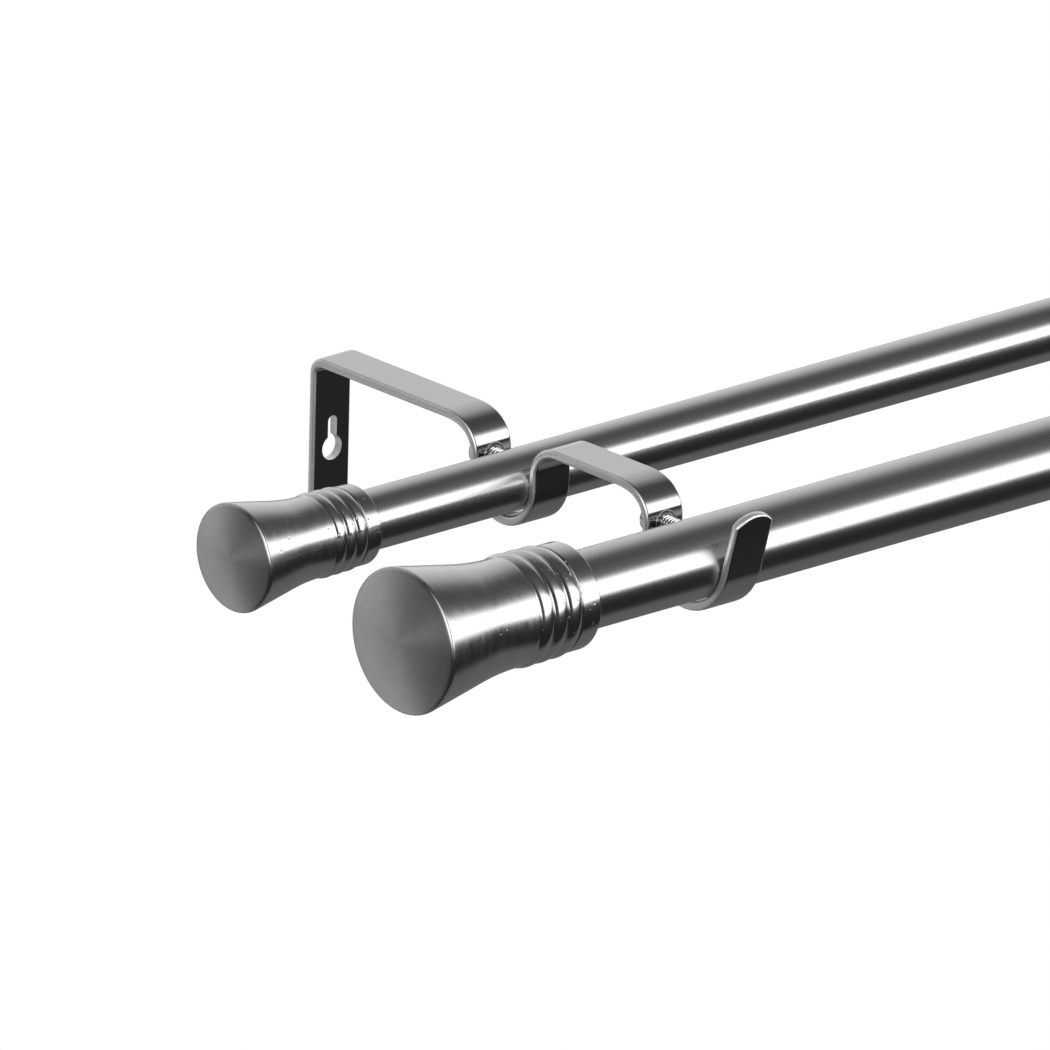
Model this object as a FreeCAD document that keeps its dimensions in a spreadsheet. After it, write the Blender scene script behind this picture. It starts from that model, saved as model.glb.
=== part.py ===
import FreeCAD, Part
import math
import os
import Sketcher

# A double curtain pole: two round tubes side by side in a pair of one-piece strip brackets,
# each tube closed at both ends by a trumpet-shaped finial.
# Frame in millimetres: +X along the poles, +Y into the wall, +Z up. The wall plane is y = 0,
# x = 0 is half way between the brackets, and z = 0 is the middle of the keyholes.

document = FreeCAD.newDocument("DoubleCurtainPole")


# Driving sizes

SIZES = {
    # poles
    "front_pole_radius": 12.5,
    "back_pole_radius": 9.5,
    "pole_wall": 0.8,
    "front_pole_length": 1200,
    "back_pole_overhang": 4.5,
    # the brackets' places, and the cradles' centres out from the wall and down from the arms
    "bracket_inset": 82.5,
    "front_reach": 173,
    "back_reach": 89.5,
    "front_cradle_drop": 14.55,
    "back_cradle_drop": 15.4,
    "front_cradle_play": 4.25,
    "back_cradle_play": 2.5,
    # where the screw presses each pole against its cradle, in degrees below level
    "front_seat_angle": 40,
    "back_seat_angle": 3,
    # bracket strip
    "strip_width": 15,
    "strip_thickness": 3,
    "strip_edge_radius": 1.1,
    "arm_height": 31,
    "plate_height": 56,
    "wall_bend_radius": 2.5,
    "arm_bend_radius": 8,
    "lip_length": 21.8,
    "lip_lean": 15,
    "tip_rise": 3.5,
    "cut_overrun": 1,
    # keyhole in the wall plate
    "keyhole_radius": 4,
    "slot_radius": 1.8,
    "slot_rise": 8.7,
    # screws that hold the poles in the cradles
    "screw_drop": 12.5,
    "thread_radius": 2.5,
    "thread_clearance": 0.05,
    "front_screw_length": 12,
    "back_screw_length": 9,
    "screw_point_gap": 0.05,
    "screw_point_chamfer": 0.5,
    "screw_head_radius": 4.75,
    "screw_head_height": 3.7,
    "screw_crown_radius": 3.3,
    "screw_rim_height": 1.6,
    "recess_width": 1.2,
    "recess_reach": 2.6,
    "recess_depth": 1.6,
    # front finials
    "front_rim_radius": 23.4,
    "front_dome_height": 2.5,
    "front_waist_place": 41.5,
    "front_waist_radius": 17.2,
    "front_flare_radius": 95,
    "front_ring_pitch": 5.8,
    "front_ring_bulge": 0.75,
    "front_ring_step": 0.12,
    "front_collar_length": 7.6,
    "front_collar_radius": 17,
    "front_collar_edge": 0.8,
    "front_finial_wall": 1.2,
    # back finials
    "back_rim_radius": 17.5,
    "back_dome_height": 1.9,
    "back_waist_place": 31.1,
    "back_waist_radius": 12.9,
    "back_flare_radius": 71,
    "back_ring_pitch": 4.35,
    "back_ring_bulge": 0.56,
    "back_ring_step": 0.09,
    "back_collar_length": 5.7,
    "back_collar_radius": 12.75,
    "back_collar_edge": 0.6,
    "back_finial_wall": 1,
    # bushes between the finials and the poles
    "bush_clearance": 0.05,
    "bush_seat_gap": 0.3,
    "bush_recess": 0.5,
    "bush_stop_width": 1.5,
    "bush_stop_lip": 2,
    "bush_lead_in": 0.6,
}

# Sizes and places that follow from the driving ones

PLACES = {
    "front_cradle_height": "Sizes.arm_height - Sizes.front_cradle_drop",
    "back_cradle_height": "Sizes.arm_height - Sizes.back_cradle_drop",
    "front_axis_height":
        "front_cradle_height - Sizes.front_cradle_play * sin(Sizes.front_seat_angle * 1deg)",
    "back_axis_height":
        "back_cradle_height - Sizes.back_cradle_play * sin(Sizes.back_seat_angle * 1deg)",
    "front_pole_reach":
        "Sizes.front_reach + Sizes.front_cradle_play * cos(Sizes.front_seat_angle * 1deg)",
    "back_pole_reach":
        "Sizes.back_reach + Sizes.back_cradle_play * cos(Sizes.back_seat_angle * 1deg)",
    "front_pole_bore": "Sizes.front_pole_radius - Sizes.pole_wall",
    "back_pole_bore": "Sizes.back_pole_radius - Sizes.pole_wall",
    "front_pole_end": "Sizes.front_pole_length / 2",
    "back_pole_end": "front_pole_end + Sizes.back_pole_overhang",
    "bracket_place": "front_pole_end - Sizes.bracket_inset",
    # middle line of the bent strip
    "strip_half": "Sizes.strip_thickness / 2",
    "arm_middle": "Sizes.arm_height - strip_half",
    "plate_end": "Sizes.arm_height - Sizes.plate_height",
    "plate_climb": "Sizes.plate_height - strip_half",
    "wall_bend_middle": "Sizes.wall_bend_radius + strip_half",
    "arm_bend_middle": "Sizes.arm_bend_radius + strip_half",
    "back_cradle_radius": "Sizes.back_pole_radius + Sizes.back_cradle_play",
    "front_cradle_radius": "Sizes.front_pole_radius + Sizes.front_cradle_play",
    "back_leg_front": "Sizes.back_reach - back_cradle_radius",
    "front_leg_front": "Sizes.front_reach - front_cradle_radius",
    "back_leg_middle": "back_leg_front - strip_half",
    "rise_leg_middle": "Sizes.back_reach + back_cradle_radius + strip_half",
    "front_leg_middle": "front_leg_front - strip_half",
    "front_cradle_middle": "front_cradle_radius + strip_half",
    "lip_run": "Sizes.lip_length * sin(Sizes.lip_lean * 1deg)",
    "lip_climb": "Sizes.lip_length * cos(Sizes.lip_lean * 1deg)",
    # rounded tip of the lip, cut across the strip
    "tip_radius": "(Sizes.strip_width ^ 2 / 4 + Sizes.tip_rise ^ 2) / (2 * Sizes.tip_rise)",
    "lip_start_height": "front_cradle_height - front_cradle_middle * sin(Sizes.lip_lean * 1deg)",
    "lip_end_low": "lip_start_height + lip_climb - strip_half * sin(Sizes.lip_lean * 1deg)",
    "tip_low": "lip_end_low - Sizes.tip_rise",
    "tip_cut_height": "Sizes.tip_rise + Sizes.strip_thickness",
    "tip_cut_depth": "front_cradle_middle + lip_run + Sizes.strip_thickness",
    # screw holes and screws
    "screw_height": "Sizes.arm_height - Sizes.screw_drop",
    "screw_hole_radius": "Sizes.thread_radius + Sizes.thread_clearance",
    "screw_hole_depth": "Sizes.strip_thickness + 2 * Sizes.cut_overrun",
    "point_radius": "Sizes.thread_radius - Sizes.screw_point_chamfer",
    "front_point_height": "screw_height - front_axis_height - point_radius",
    "back_point_height": "screw_height - back_axis_height - point_radius",
    "front_point_reach": "front_pole_reach - Sizes.screw_point_gap"
    " - sqrt(Sizes.front_pole_radius ^ 2 - front_point_height ^ 2)",
    "back_point_reach": "back_pole_reach - Sizes.screw_point_gap"
    " - sqrt(Sizes.back_pole_radius ^ 2 - back_point_height ^ 2)",
    "front_screw_total": "Sizes.screw_head_height + Sizes.front_screw_length",
    "back_screw_total": "Sizes.screw_head_height + Sizes.back_screw_length",
    "front_screw_place": "front_point_reach - front_screw_total",
    "back_screw_place": "back_point_reach - back_screw_total",
}

for row in ("front", "back"):
    PLACES.update({
        f"{row}_dome_radius":
            f"(Sizes.{row}_rim_radius ^ 2 + Sizes.{row}_dome_height ^ 2)"
            f" / (2 * Sizes.{row}_dome_height)",
        f"{row}_dome_inside": f"{row}_dome_radius - Sizes.{row}_finial_wall",
        f"{row}_flare_inside": f"Sizes.{row}_flare_radius + Sizes.{row}_finial_wall",
        f"{row}_waist_inside": f"Sizes.{row}_waist_radius - Sizes.{row}_finial_wall",
        f"{row}_waist_x": f"Sizes.{row}_dome_height + Sizes.{row}_waist_place",
        f"{row}_notch_one_x": f"{row}_waist_x + Sizes.{row}_ring_pitch",
        f"{row}_notch_two_x": f"{row}_waist_x + 2 * Sizes.{row}_ring_pitch",
        f"{row}_notch_three_x": f"{row}_waist_x + 3 * Sizes.{row}_ring_pitch",
        f"{row}_notch_one_radius": f"Sizes.{row}_waist_radius - Sizes.{row}_ring_step",
        f"{row}_notch_two_radius": f"Sizes.{row}_waist_radius - 2 * Sizes.{row}_ring_step",
        f"{row}_notch_three_radius": f"Sizes.{row}_waist_radius - 3 * Sizes.{row}_ring_step",
        f"{row}_ring_radius":
            f"(Sizes.{row}_ring_pitch ^ 2 / 4 + Sizes.{row}_ring_bulge ^ 2)"
            f" / (2 * Sizes.{row}_ring_bulge)",
        f"{row}_collar_end_x": f"{row}_notch_three_x + Sizes.{row}_collar_length",
        f"{row}_socket_radius": f"{row}_notch_three_radius - Sizes.{row}_finial_wall",
        # bush, measured from its blind end
        f"{row}_bush_length":
            f"{row}_collar_end_x - {row}_waist_x - Sizes.bush_seat_gap - Sizes.bush_recess",
        f"{row}_bush_outside": f"{row}_socket_radius - Sizes.bush_clearance",
        f"{row}_bush_bore": f"Sizes.{row}_pole_radius + Sizes.bush_clearance",
        f"{row}_bush_stop_bore": f"Sizes.{row}_pole_radius - Sizes.bush_stop_lip",
        # where the finial and its bush sit along the poles
        f"{row}_bush_place": f"{row}_pole_end + Sizes.bush_stop_width",
        f"{row}_finial_place": f"{row}_bush_place + Sizes.bush_seat_gap + {row}_waist_x",
    })


def fill_sheet(name, cells):
    """Makes a sheet with one named cell for each size."""
    sheet = document.addObject("Spreadsheet::Sheet", name)
    for line, (alias, content) in enumerate(cells.items(), start=1):
        sheet.set(f"A{line}", alias)
        sheet.set(f"B{line}", f"={content}" if isinstance(content, str) else str(content))
        sheet.setAlias(f"B{line}", alias)
    document.recompute()
    return sheet


fill_sheet("Sizes", SIZES)
fill_sheet("Places", PLACES)


def number(cell):
    """The number that a cell, such as Sizes.strip_width, holds now."""
    sheet, alias = cell.split(".")
    return float(document.getObject(sheet).get(alias))


# Bodies and sketches

# how a sketch numbers the points of a curve, its own origin and its own axes
START, END, CENTRE = range(1, 4)
ORIGIN = (-1, START)
AXIS_H, AXIS_V = range(-1, -3, -1)


def new_body(label):
    body = document.addObject("PartDesign::Body", label)
    body.Label = label
    return body


def new_sketch(body, name, plane_role, offset=None, turned=False):
    """A sketch on one of the body's own planes, moved along its normal by a cell's value."""
    planes = {feature.Role: feature for feature in body.Origin.OriginFeatures}
    sketch = body.newObject("Sketcher::SketchObject", name)
    sketch.AttachmentSupport = [(planes[plane_role], "")]
    sketch.MapMode = "FlatFace"
    if turned:
        half_turn = FreeCAD.Rotation(FreeCAD.Vector(0, 1, 0), 180)
        sketch.AttachmentOffset = FreeCAD.Placement(FreeCAD.Vector(), half_turn)
    if offset:
        sketch.setExpression(".AttachmentOffset.Base.z", offset)
    return sketch


def size(sketch, kind, cell, *points):
    """A size in a sketch that follows a cell."""
    index = sketch.addConstraint(Sketcher.Constraint(kind, *points, number(cell)))
    sketch.setExpression(f"Constraints[{index}]", cell)


def rule(sketch, kind, *points):
    """A rule in a sketch that has no size, such as Tangent or Vertical."""
    sketch.addConstraint(Sketcher.Constraint(kind, *points))


def place(sketch, point, x_cell, y_cell):
    """Puts a point at the distances from the sketch's origin that two cells hold."""
    size(sketch, "DistanceX", x_cell, *ORIGIN, *point)
    size(sketch, "DistanceY", y_cell, *ORIGIN, *point)


def line(sketch, start, end):
    ends = [FreeCAD.Vector(x, y, 0) for x, y in (start, end)]
    return sketch.addGeometry(Part.LineSegment(*ends), False)


def arc(sketch, centre, radius, start_degrees, end_degrees):
    """An arc that runs anticlockwise from its start to its end."""
    circle = Part.Circle(FreeCAD.Vector(*centre, 0), FreeCAD.Vector(0, 0, 1), radius)
    angles = [math.radians(angle) for angle in (start_degrees, end_degrees)]
    return sketch.addGeometry(Part.ArcOfCircle(circle, *angles), False)


def circle_at_origin(sketch, cell):
    whole = Part.Circle(FreeCAD.Vector(), FreeCAD.Vector(0, 0, 1), number(cell))
    index = sketch.addGeometry(whole, False)
    rule(sketch, "Coincident", index, CENTRE, *ORIGIN)
    size(sketch, "Radius", cell, index)


def chain(sketch, joints):
    """Joins the end of each curve to the start of the next, as a list of point pairs."""
    for kind, first, second in joints:
        rule(sketch, kind, *first, *second)


def angle_of(centre, point):
    return math.degrees(math.atan2(point[1] - centre[1], point[0] - centre[0]))


def revolve(body, name, sketch):
    """A full turn of a profile about its own horizontal axis."""
    turned = body.newObject("PartDesign::Revolution", name)
    turned.Profile = sketch
    turned.ReferenceAxis = (sketch, ["H_Axis"])
    turned.Angle = 360
    body.Tip = turned
    return turned


def pocket(body, name, sketch, depth, reversed_way):
    """A cut along the sketch's normal, checked to remove material."""
    document.recompute()
    before = body.Shape.Volume
    cut = body.newObject("PartDesign::Pocket", name)
    cut.Profile = sketch
    cut.setExpression("Length", depth)
    cut.Reversed = reversed_way
    body.Tip = cut
    document.recompute()
    if body.Shape.Volume >= before:
        raise RuntimeError(f"{name} cuts nothing from {body.Label}")
    return cut


def set_place(body, **distances):
    """Moves a body to the places that cells give along X, Y and Z."""
    for axis, expression in distances.items():
        body.setExpression(f".Placement.Base.{axis}", expression)


# Poles: round tubes, cut square

def make_pole(row):
    body = new_body(f"{row}_pole")
    ring = new_sketch(body, f"{row}_pole_section", "YZ_Plane")
    circle_at_origin(ring, f"Sizes.{row}_pole_radius")
    circle_at_origin(ring, f"Places.{row}_pole_bore")
    tube = body.newObject("PartDesign::Pad", f"{row}_pole_tube")
    tube.Profile = ring
    tube.setExpression("Length", f"2 * Places.{row}_pole_end")
    tube.SideType = "Symmetric"
    body.Tip = tube
    set_place(body, y=f"-Places.{row}_pole_reach", z=f"Places.{row}_axis_height")
    return body


# Finials: hollow, turned about the pole's axis, starting at the crown of the domed face

def finial_profile(body, row):
    """Outline of the shell, x along the axis from the crown and y the radius."""
    sketch = new_sketch(body, f"{row}_finial_profile", "XY_Plane")
    dome_height = number(f"Sizes.{row}_dome_height")
    dome_radius = number(f"Places.{row}_dome_radius")
    wall = number(f"Sizes.{row}_finial_wall")
    rim = (dome_height, number(f"Sizes.{row}_rim_radius"))
    waist = (number(f"Places.{row}_waist_x"), number(f"Sizes.{row}_waist_radius"))
    flare = number(f"Sizes.{row}_flare_radius")
    flare_centre = (waist[0], waist[1] + flare)

    # the flared side is straight from the rim until it meets the waist's arc at a tangent
    span = math.dist(rim, flare_centre)
    lean = math.asin(flare / span)
    toward = math.atan2(flare_centre[1] - rim[1], flare_centre[0] - rim[0])
    direction = toward - lean
    run = math.sqrt(span ** 2 - flare ** 2)
    blend = (rim[0] + run * math.cos(direction), rim[1] + run * math.sin(direction))
    inward = (math.sin(direction) * wall, -math.cos(direction) * wall)
    blend_inside = (blend[0] + inward[0], blend[1] + inward[1])
    rim_inside = (rim[0] + inward[0] + wall, rim[1] + inward[1] + wall * math.tan(direction))

    dome_centre = (dome_radius, 0)
    outer_dome = arc(sketch, dome_centre, dome_radius, angle_of(dome_centre, rim), 180)
    side = line(sketch, rim, blend)
    waist_arc = arc(sketch, flare_centre, flare, angle_of(flare_centre, blend), -90)
    rule(sketch, "Coincident", outer_dome, END, *ORIGIN)
    rule(sketch, "PointOnObject", outer_dome, CENTRE, AXIS_H)
    place(sketch, (side, START), f"Sizes.{row}_dome_height", f"Sizes.{row}_rim_radius")
    place(sketch, (waist_arc, END), f"Places.{row}_waist_x", f"Sizes.{row}_waist_radius")
    rule(sketch, "Vertical", waist_arc, CENTRE, waist_arc, END)
    size(sketch, "Radius", f"Sizes.{row}_flare_radius", waist_arc)

    # three raised rings, each a shallow arc between two notches
    last = (waist_arc, END)
    last_point = waist
    joints = [("Coincident", (outer_dome, START), (side, START)),
              ("Tangent", (side, END), (waist_arc, START))]
    for notch in ("one", "two", "three"):
        point = (number(f"Places.{row}_notch_{notch}_x"),
                 number(f"Places.{row}_notch_{notch}_radius"))
        bulge_radius = number(f"Places.{row}_ring_radius")
        middle = ((last_point[0] + point[0]) / 2, (last_point[1] + point[1]) / 2)
        sag = math.sqrt(bulge_radius ** 2 - (math.dist(last_point, point) / 2) ** 2)
        tilt = math.atan2(point[1] - last_point[1], point[0] - last_point[0])
        centre = (middle[0] + sag * math.sin(tilt), middle[1] - sag * math.cos(tilt))
        ring = arc(sketch, centre, bulge_radius,
                   angle_of(centre, point), angle_of(centre, last_point))
        place(sketch, (ring, START), f"Places.{row}_notch_{notch}_x",
              f"Places.{row}_notch_{notch}_radius")
        size(sketch, "Radius", f"Places.{row}_ring_radius", ring)
        joints.append(("Coincident", last, (ring, END)))
        last = (ring, START)
        last_point = point

    # plain collar with a softened edge, and the socket that holds the bush
    collar = number(f"Sizes.{row}_collar_radius")
    collar_end = number(f"Places.{row}_collar_end_x")
    edge = number(f"Sizes.{row}_collar_edge")
    socket = number(f"Places.{row}_socket_radius")
    waist_inside = number(f"Places.{row}_waist_inside")
    step = line(sketch, last_point, (last_point[0], collar))
    side_of_collar = line(sketch, (last_point[0], collar), (collar_end - edge, collar))
    collar_edge = arc(sketch, (collar_end - edge, collar - edge), edge, 0, 90)
    collar_face = line(sketch, (collar_end, collar - edge), (collar_end, socket))
    bore = line(sketch, (collar_end, socket), (waist[0], socket))
    shoulder = line(sketch, (waist[0], socket), (waist[0], waist_inside))
    inner_waist = arc(sketch, flare_centre, flare + wall,
                      angle_of(flare_centre, blend_inside), -90)
    inner_side = line(sketch, rim_inside, blend_inside)
    inner_dome = arc(sketch, dome_centre, dome_radius - wall,
                     angle_of(dome_centre, rim_inside), 180)
    axis = line(sketch, (wall, 0), (0, 0))
    for upright in (step, collar_face, shoulder):
        rule(sketch, "Vertical", upright)
    for level in (side_of_collar, bore):
        rule(sketch, "Horizontal", level)
    joints += [("Coincident", last, (step, START)),
               ("Coincident", (step, END), (side_of_collar, START)),
               ("Tangent", (side_of_collar, END), (collar_edge, END)),
               ("Tangent", (collar_edge, START), (collar_face, START)),
               ("Coincident", (collar_face, END), (bore, START)),
               ("Coincident", (bore, END), (shoulder, START)),
               ("Coincident", (shoulder, END), (inner_waist, END)),
               ("Tangent", (inner_waist, START), (inner_side, END)),
               ("Coincident", (inner_side, START), (inner_dome, START)),
               ("Coincident", (inner_dome, END), (axis, START)),
               ("Coincident", (axis, END), ORIGIN)]
    chain(sketch, joints)
    size(sketch, "DistanceY", f"Sizes.{row}_collar_radius", *ORIGIN, side_of_collar, START)
    size(sketch, "DistanceX", f"Places.{row}_collar_end_x", *ORIGIN, collar_face, START)
    size(sketch, "Radius", f"Sizes.{row}_collar_edge", collar_edge)
    size(sketch, "DistanceY", f"Places.{row}_socket_radius", *ORIGIN, bore, START)
    rule(sketch, "Coincident", inner_waist, CENTRE, waist_arc, CENTRE)
    place(sketch, (inner_waist, END), f"Places.{row}_waist_x", f"Places.{row}_waist_inside")
    rule(sketch, "Parallel", inner_side, side)
    rule(sketch, "Coincident", inner_dome, CENTRE, outer_dome, CENTRE)
    size(sketch, "Radius", f"Places.{row}_dome_inside", inner_dome)
    rule(sketch, "PointOnObject", axis, START, AXIS_H)
    return sketch


def seat_on_pole(body, row, side, cell):
    """Moves a turned piece to the pole's left (-1) or right (+1) end, its socket inward."""
    if side > 0:
        body.Placement.Rotation = FreeCAD.Rotation(FreeCAD.Vector(0, 0, 1), 180)
    sign = "" if side > 0 else "-"
    set_place(body, x=sign + cell, y=f"-Places.{row}_pole_reach",
              z=f"Places.{row}_axis_height")


def make_finial(row, side, side_name):
    body = new_body(f"{row}_finial_{side_name}")
    revolve(body, f"{row}_finial_shell", finial_profile(body, row))
    seat_on_pole(body, row, side, f"Places.{row}_finial_place")
    return body


# Bushes: moulded sleeves in the finial sockets, with a stop for the end of the pole

def bush_profile(body, row):
    sketch = new_sketch(body, f"{row}_bush_profile", "XY_Plane")
    length = number(f"Places.{row}_bush_length")
    outside = number(f"Places.{row}_bush_outside")
    bore = number(f"Places.{row}_bush_bore")
    stop_bore = number(f"Places.{row}_bush_stop_bore")
    stop = number("Sizes.bush_stop_width")
    lead = number("Sizes.bush_lead_in")
    corners = [(0, stop_bore), (0, outside), (length, outside), (length, bore + lead),
               (length - lead, bore), (stop, bore), (stop, stop_bore)]
    edges = [line(sketch, corner, corners[(index + 1) % len(corners)])
             for index, corner in enumerate(corners)]
    for index, edge in enumerate(edges):
        rule(sketch, "Coincident", edge, END, edges[(index + 1) % len(edges)], START)
    blind_end, back, open_end, lead_in, hole, stop_face, stop_hole = edges
    for upright in (blind_end, open_end, stop_face):
        rule(sketch, "Vertical", upright)
    for level in (back, hole, stop_hole):
        rule(sketch, "Horizontal", level)
    rule(sketch, "PointOnObject", blind_end, START, AXIS_V)
    size(sketch, "DistanceY", f"Places.{row}_bush_stop_bore", *ORIGIN, blind_end, START)
    size(sketch, "DistanceY", f"Places.{row}_bush_outside", *ORIGIN, blind_end, END)
    size(sketch, "DistanceX", f"Places.{row}_bush_length", *ORIGIN, back, END)
    size(sketch, "DistanceY", f"Places.{row}_bush_bore", *ORIGIN, hole, START)
    size(sketch, "DistanceX", "Sizes.bush_stop_width", *ORIGIN, stop_face, START)
    size(sketch, "DistanceX", "Sizes.bush_lead_in", hole, START, lead_in, START)
    size(sketch, "DistanceY", "Sizes.bush_lead_in", hole, START, lead_in, START)
    return sketch


def make_bush(row, side, side_name):
    body = new_body(f"{row}_finial_bush_{side_name}")
    revolve(body, f"{row}_bush_sleeve", bush_profile(body, row))
    seat_on_pole(body, row, side, f"Places.{row}_bush_place")
    return body


# Brackets: one flat strip, bent along a route that runs from the foot of the wall plate over
# two arms and through two cradles to the lip

def strip_route(body):
    """Middle line of the strip, x the distance out from the wall and y the height."""
    sketch = new_sketch(body, "strip_route", "YZ_Plane", turned=True)
    half = number("Places.strip_half")
    level = number("Places.arm_middle")
    foot = number("Places.plate_end")
    wall_bend = number("Places.wall_bend_middle")
    arm_bend = number("Places.arm_bend_middle")
    back_leg = number("Places.back_leg_middle")
    rise_leg = number("Places.rise_leg_middle")
    front_leg = number("Places.front_leg_middle")
    back_cradle = (number("Sizes.back_reach"), number("Places.back_cradle_height"))
    front_cradle = (number("Sizes.front_reach"), number("Places.front_cradle_height"))
    cradle_radius = number("Places.front_cradle_middle")
    lean = math.radians(number("Sizes.lip_lean"))
    lip_start = (front_cradle[0] + cradle_radius * math.cos(lean),
                 front_cradle[1] - cradle_radius * math.sin(lean))
    lip_end = (lip_start[0] + number("Places.lip_run"),
               lip_start[1] + number("Places.lip_climb"))
    shoulder = level - arm_bend

    plate = line(sketch, (half, foot), (half, level - wall_bend))
    plate_bend = arc(sketch, (half + wall_bend, level - wall_bend), wall_bend, 90, 180)
    back_arm = line(sketch, (half + wall_bend, level), (back_leg - arm_bend, level))
    back_bend = arc(sketch, (back_leg - arm_bend, shoulder), arm_bend, 0, 90)
    back_down = line(sketch, (back_leg, shoulder), (back_leg, back_cradle[1]))
    back_hook = arc(sketch, back_cradle, rise_leg - back_cradle[0], 180, 360)
    rise = line(sketch, (rise_leg, back_cradle[1]), (rise_leg, shoulder))
    rise_bend = arc(sketch, (rise_leg + arm_bend, shoulder), arm_bend, 90, 180)
    front_arm = line(sketch, (rise_leg + arm_bend, level), (front_leg - arm_bend, level))
    front_bend = arc(sketch, (front_leg - arm_bend, shoulder), arm_bend, 0, 90)
    front_down = line(sketch, (front_leg, shoulder), (front_leg, front_cradle[1]))
    front_hook = arc(sketch, front_cradle, cradle_radius, 180, 360 - math.degrees(lean))
    lip = line(sketch, lip_start, lip_end)

    chain(sketch, [("Tangent", (plate, END), (plate_bend, END)),
                   ("Tangent", (plate_bend, START), (back_arm, START)),
                   ("Tangent", (back_arm, END), (back_bend, END)),
                   ("Tangent", (back_bend, START), (back_down, START)),
                   ("Tangent", (back_down, END), (back_hook, START)),
                   ("Tangent", (back_hook, END), (rise, START)),
                   ("Tangent", (rise, END), (rise_bend, END)),
                   ("Tangent", (rise_bend, START), (front_arm, START)),
                   ("Tangent", (front_arm, END), (front_bend, END)),
                   ("Tangent", (front_bend, START), (front_down, START)),
                   ("Tangent", (front_down, END), (front_hook, START)),
                   ("Tangent", (front_hook, END), (lip, START))])
    for upright in (plate, back_down, rise, front_down):
        rule(sketch, "Vertical", upright)
    for flat in (back_arm, front_arm):
        rule(sketch, "Horizontal", flat)
    size(sketch, "DistanceX", "Places.strip_half", *ORIGIN, plate, START)
    size(sketch, "DistanceY", "Places.plate_climb", plate, START, back_arm, START)
    size(sketch, "DistanceY", "Places.arm_middle", *ORIGIN, back_arm, START)
    size(sketch, "DistanceY", "Places.arm_middle", *ORIGIN, front_arm, START)
    size(sketch, "DistanceX", "Places.back_leg_middle", *ORIGIN, back_down, START)
    size(sketch, "DistanceX", "Places.rise_leg_middle", *ORIGIN, rise, START)
    size(sketch, "DistanceX", "Places.front_leg_middle", *ORIGIN, front_down, START)
    size(sketch, "Radius", "Places.wall_bend_middle", plate_bend)
    for bend in (back_bend, rise_bend, front_bend):
        size(sketch, "Radius", "Places.arm_bend_middle", bend)
    size(sketch, "DistanceY", "Places.back_cradle_height", *ORIGIN, back_hook, CENTRE)
    size(sketch, "DistanceY", "Places.front_cradle_height", *ORIGIN, front_hook, CENTRE)
    size(sketch, "Radius", "Places.front_cradle_middle", front_hook)
    size(sketch, "DistanceX", "Places.lip_run", lip, START, lip, END)
    size(sketch, "DistanceY", "Places.lip_climb", lip, START, lip, END)
    return sketch


def strip_section(body):
    """The strip's rounded section at the foot of the wall plate, its back on the wall."""
    sketch = new_sketch(body, "strip_section", "XY_Plane", offset="Places.plate_end")
    half_width = number("Sizes.strip_width") / 2
    depth = number("Sizes.strip_thickness")
    soft = number("Sizes.strip_edge_radius")
    inner = half_width - soft
    back = line(sketch, (-inner, 0), (inner, 0))
    right = line(sketch, (half_width, -soft), (half_width, soft - depth))
    front = line(sketch, (inner, -depth), (-inner, -depth))
    left = line(sketch, (-half_width, soft - depth), (-half_width, -soft))
    corners = [arc(sketch, (inner, -soft), soft, 0, 90),
               arc(sketch, (inner, soft - depth), soft, 270, 360),
               arc(sketch, (-inner, soft - depth), soft, 180, 270),
               arc(sketch, (-inner, -soft), soft, 90, 180)]
    sides = [back, right, front, left]
    for index, corner in enumerate(corners):
        rule(sketch, "Tangent", sides[index], END, corner, END)
        rule(sketch, "Tangent", corner, START, sides[(index + 1) % 4], START)
    rule(sketch, "PointOnObject", back, START, AXIS_H)
    rule(sketch, "Symmetric", back, START, back, END, AXIS_V)
    rule(sketch, "Horizontal", front)
    rule(sketch, "Vertical", right)
    rule(sketch, "Vertical", left)
    for corner in corners[1:]:
        rule(sketch, "Equal", corners[0], corner)
    size(sketch, "Radius", "Sizes.strip_edge_radius", corners[0])
    size(sketch, "DistanceX", "Sizes.strip_width", left, START, right, START)
    size(sketch, "DistanceY", "Sizes.strip_thickness", front, START, back, END)
    return sketch


def keyhole_outline(body):
    """A round hole with a narrow slot that rises from it."""
    sketch = new_sketch(body, "keyhole_outline", "XZ_Plane")
    hole = number("Sizes.keyhole_radius")
    slot = number("Sizes.slot_radius")
    rise = number("Sizes.slot_rise")
    neck = math.sqrt(hole ** 2 - slot ** 2)
    neck_angle = math.degrees(math.atan2(neck, slot))
    round_part = arc(sketch, (0, 0), hole, 180 - neck_angle, 360 + neck_angle)
    right = line(sketch, (slot, neck), (slot, rise))
    slot_top = arc(sketch, (0, rise), slot, 0, 180)
    left = line(sketch, (-slot, rise), (-slot, neck))
    rule(sketch, "Coincident", round_part, CENTRE, *ORIGIN)
    rule(sketch, "PointOnObject", slot_top, CENTRE, AXIS_V)
    rule(sketch, "Vertical", right)
    rule(sketch, "Vertical", left)
    chain(sketch, [("Coincident", (round_part, END), (right, START)),
                   ("Tangent", (right, END), (slot_top, START)),
                   ("Tangent", (slot_top, END), (left, START)),
                   ("Coincident", (left, END), (round_part, START))])
    size(sketch, "Radius", "Sizes.keyhole_radius", round_part)
    size(sketch, "Radius", "Sizes.slot_radius", slot_top)
    size(sketch, "DistanceY", "Sizes.slot_rise", *ORIGIN, slot_top, CENTRE)
    return sketch


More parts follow.
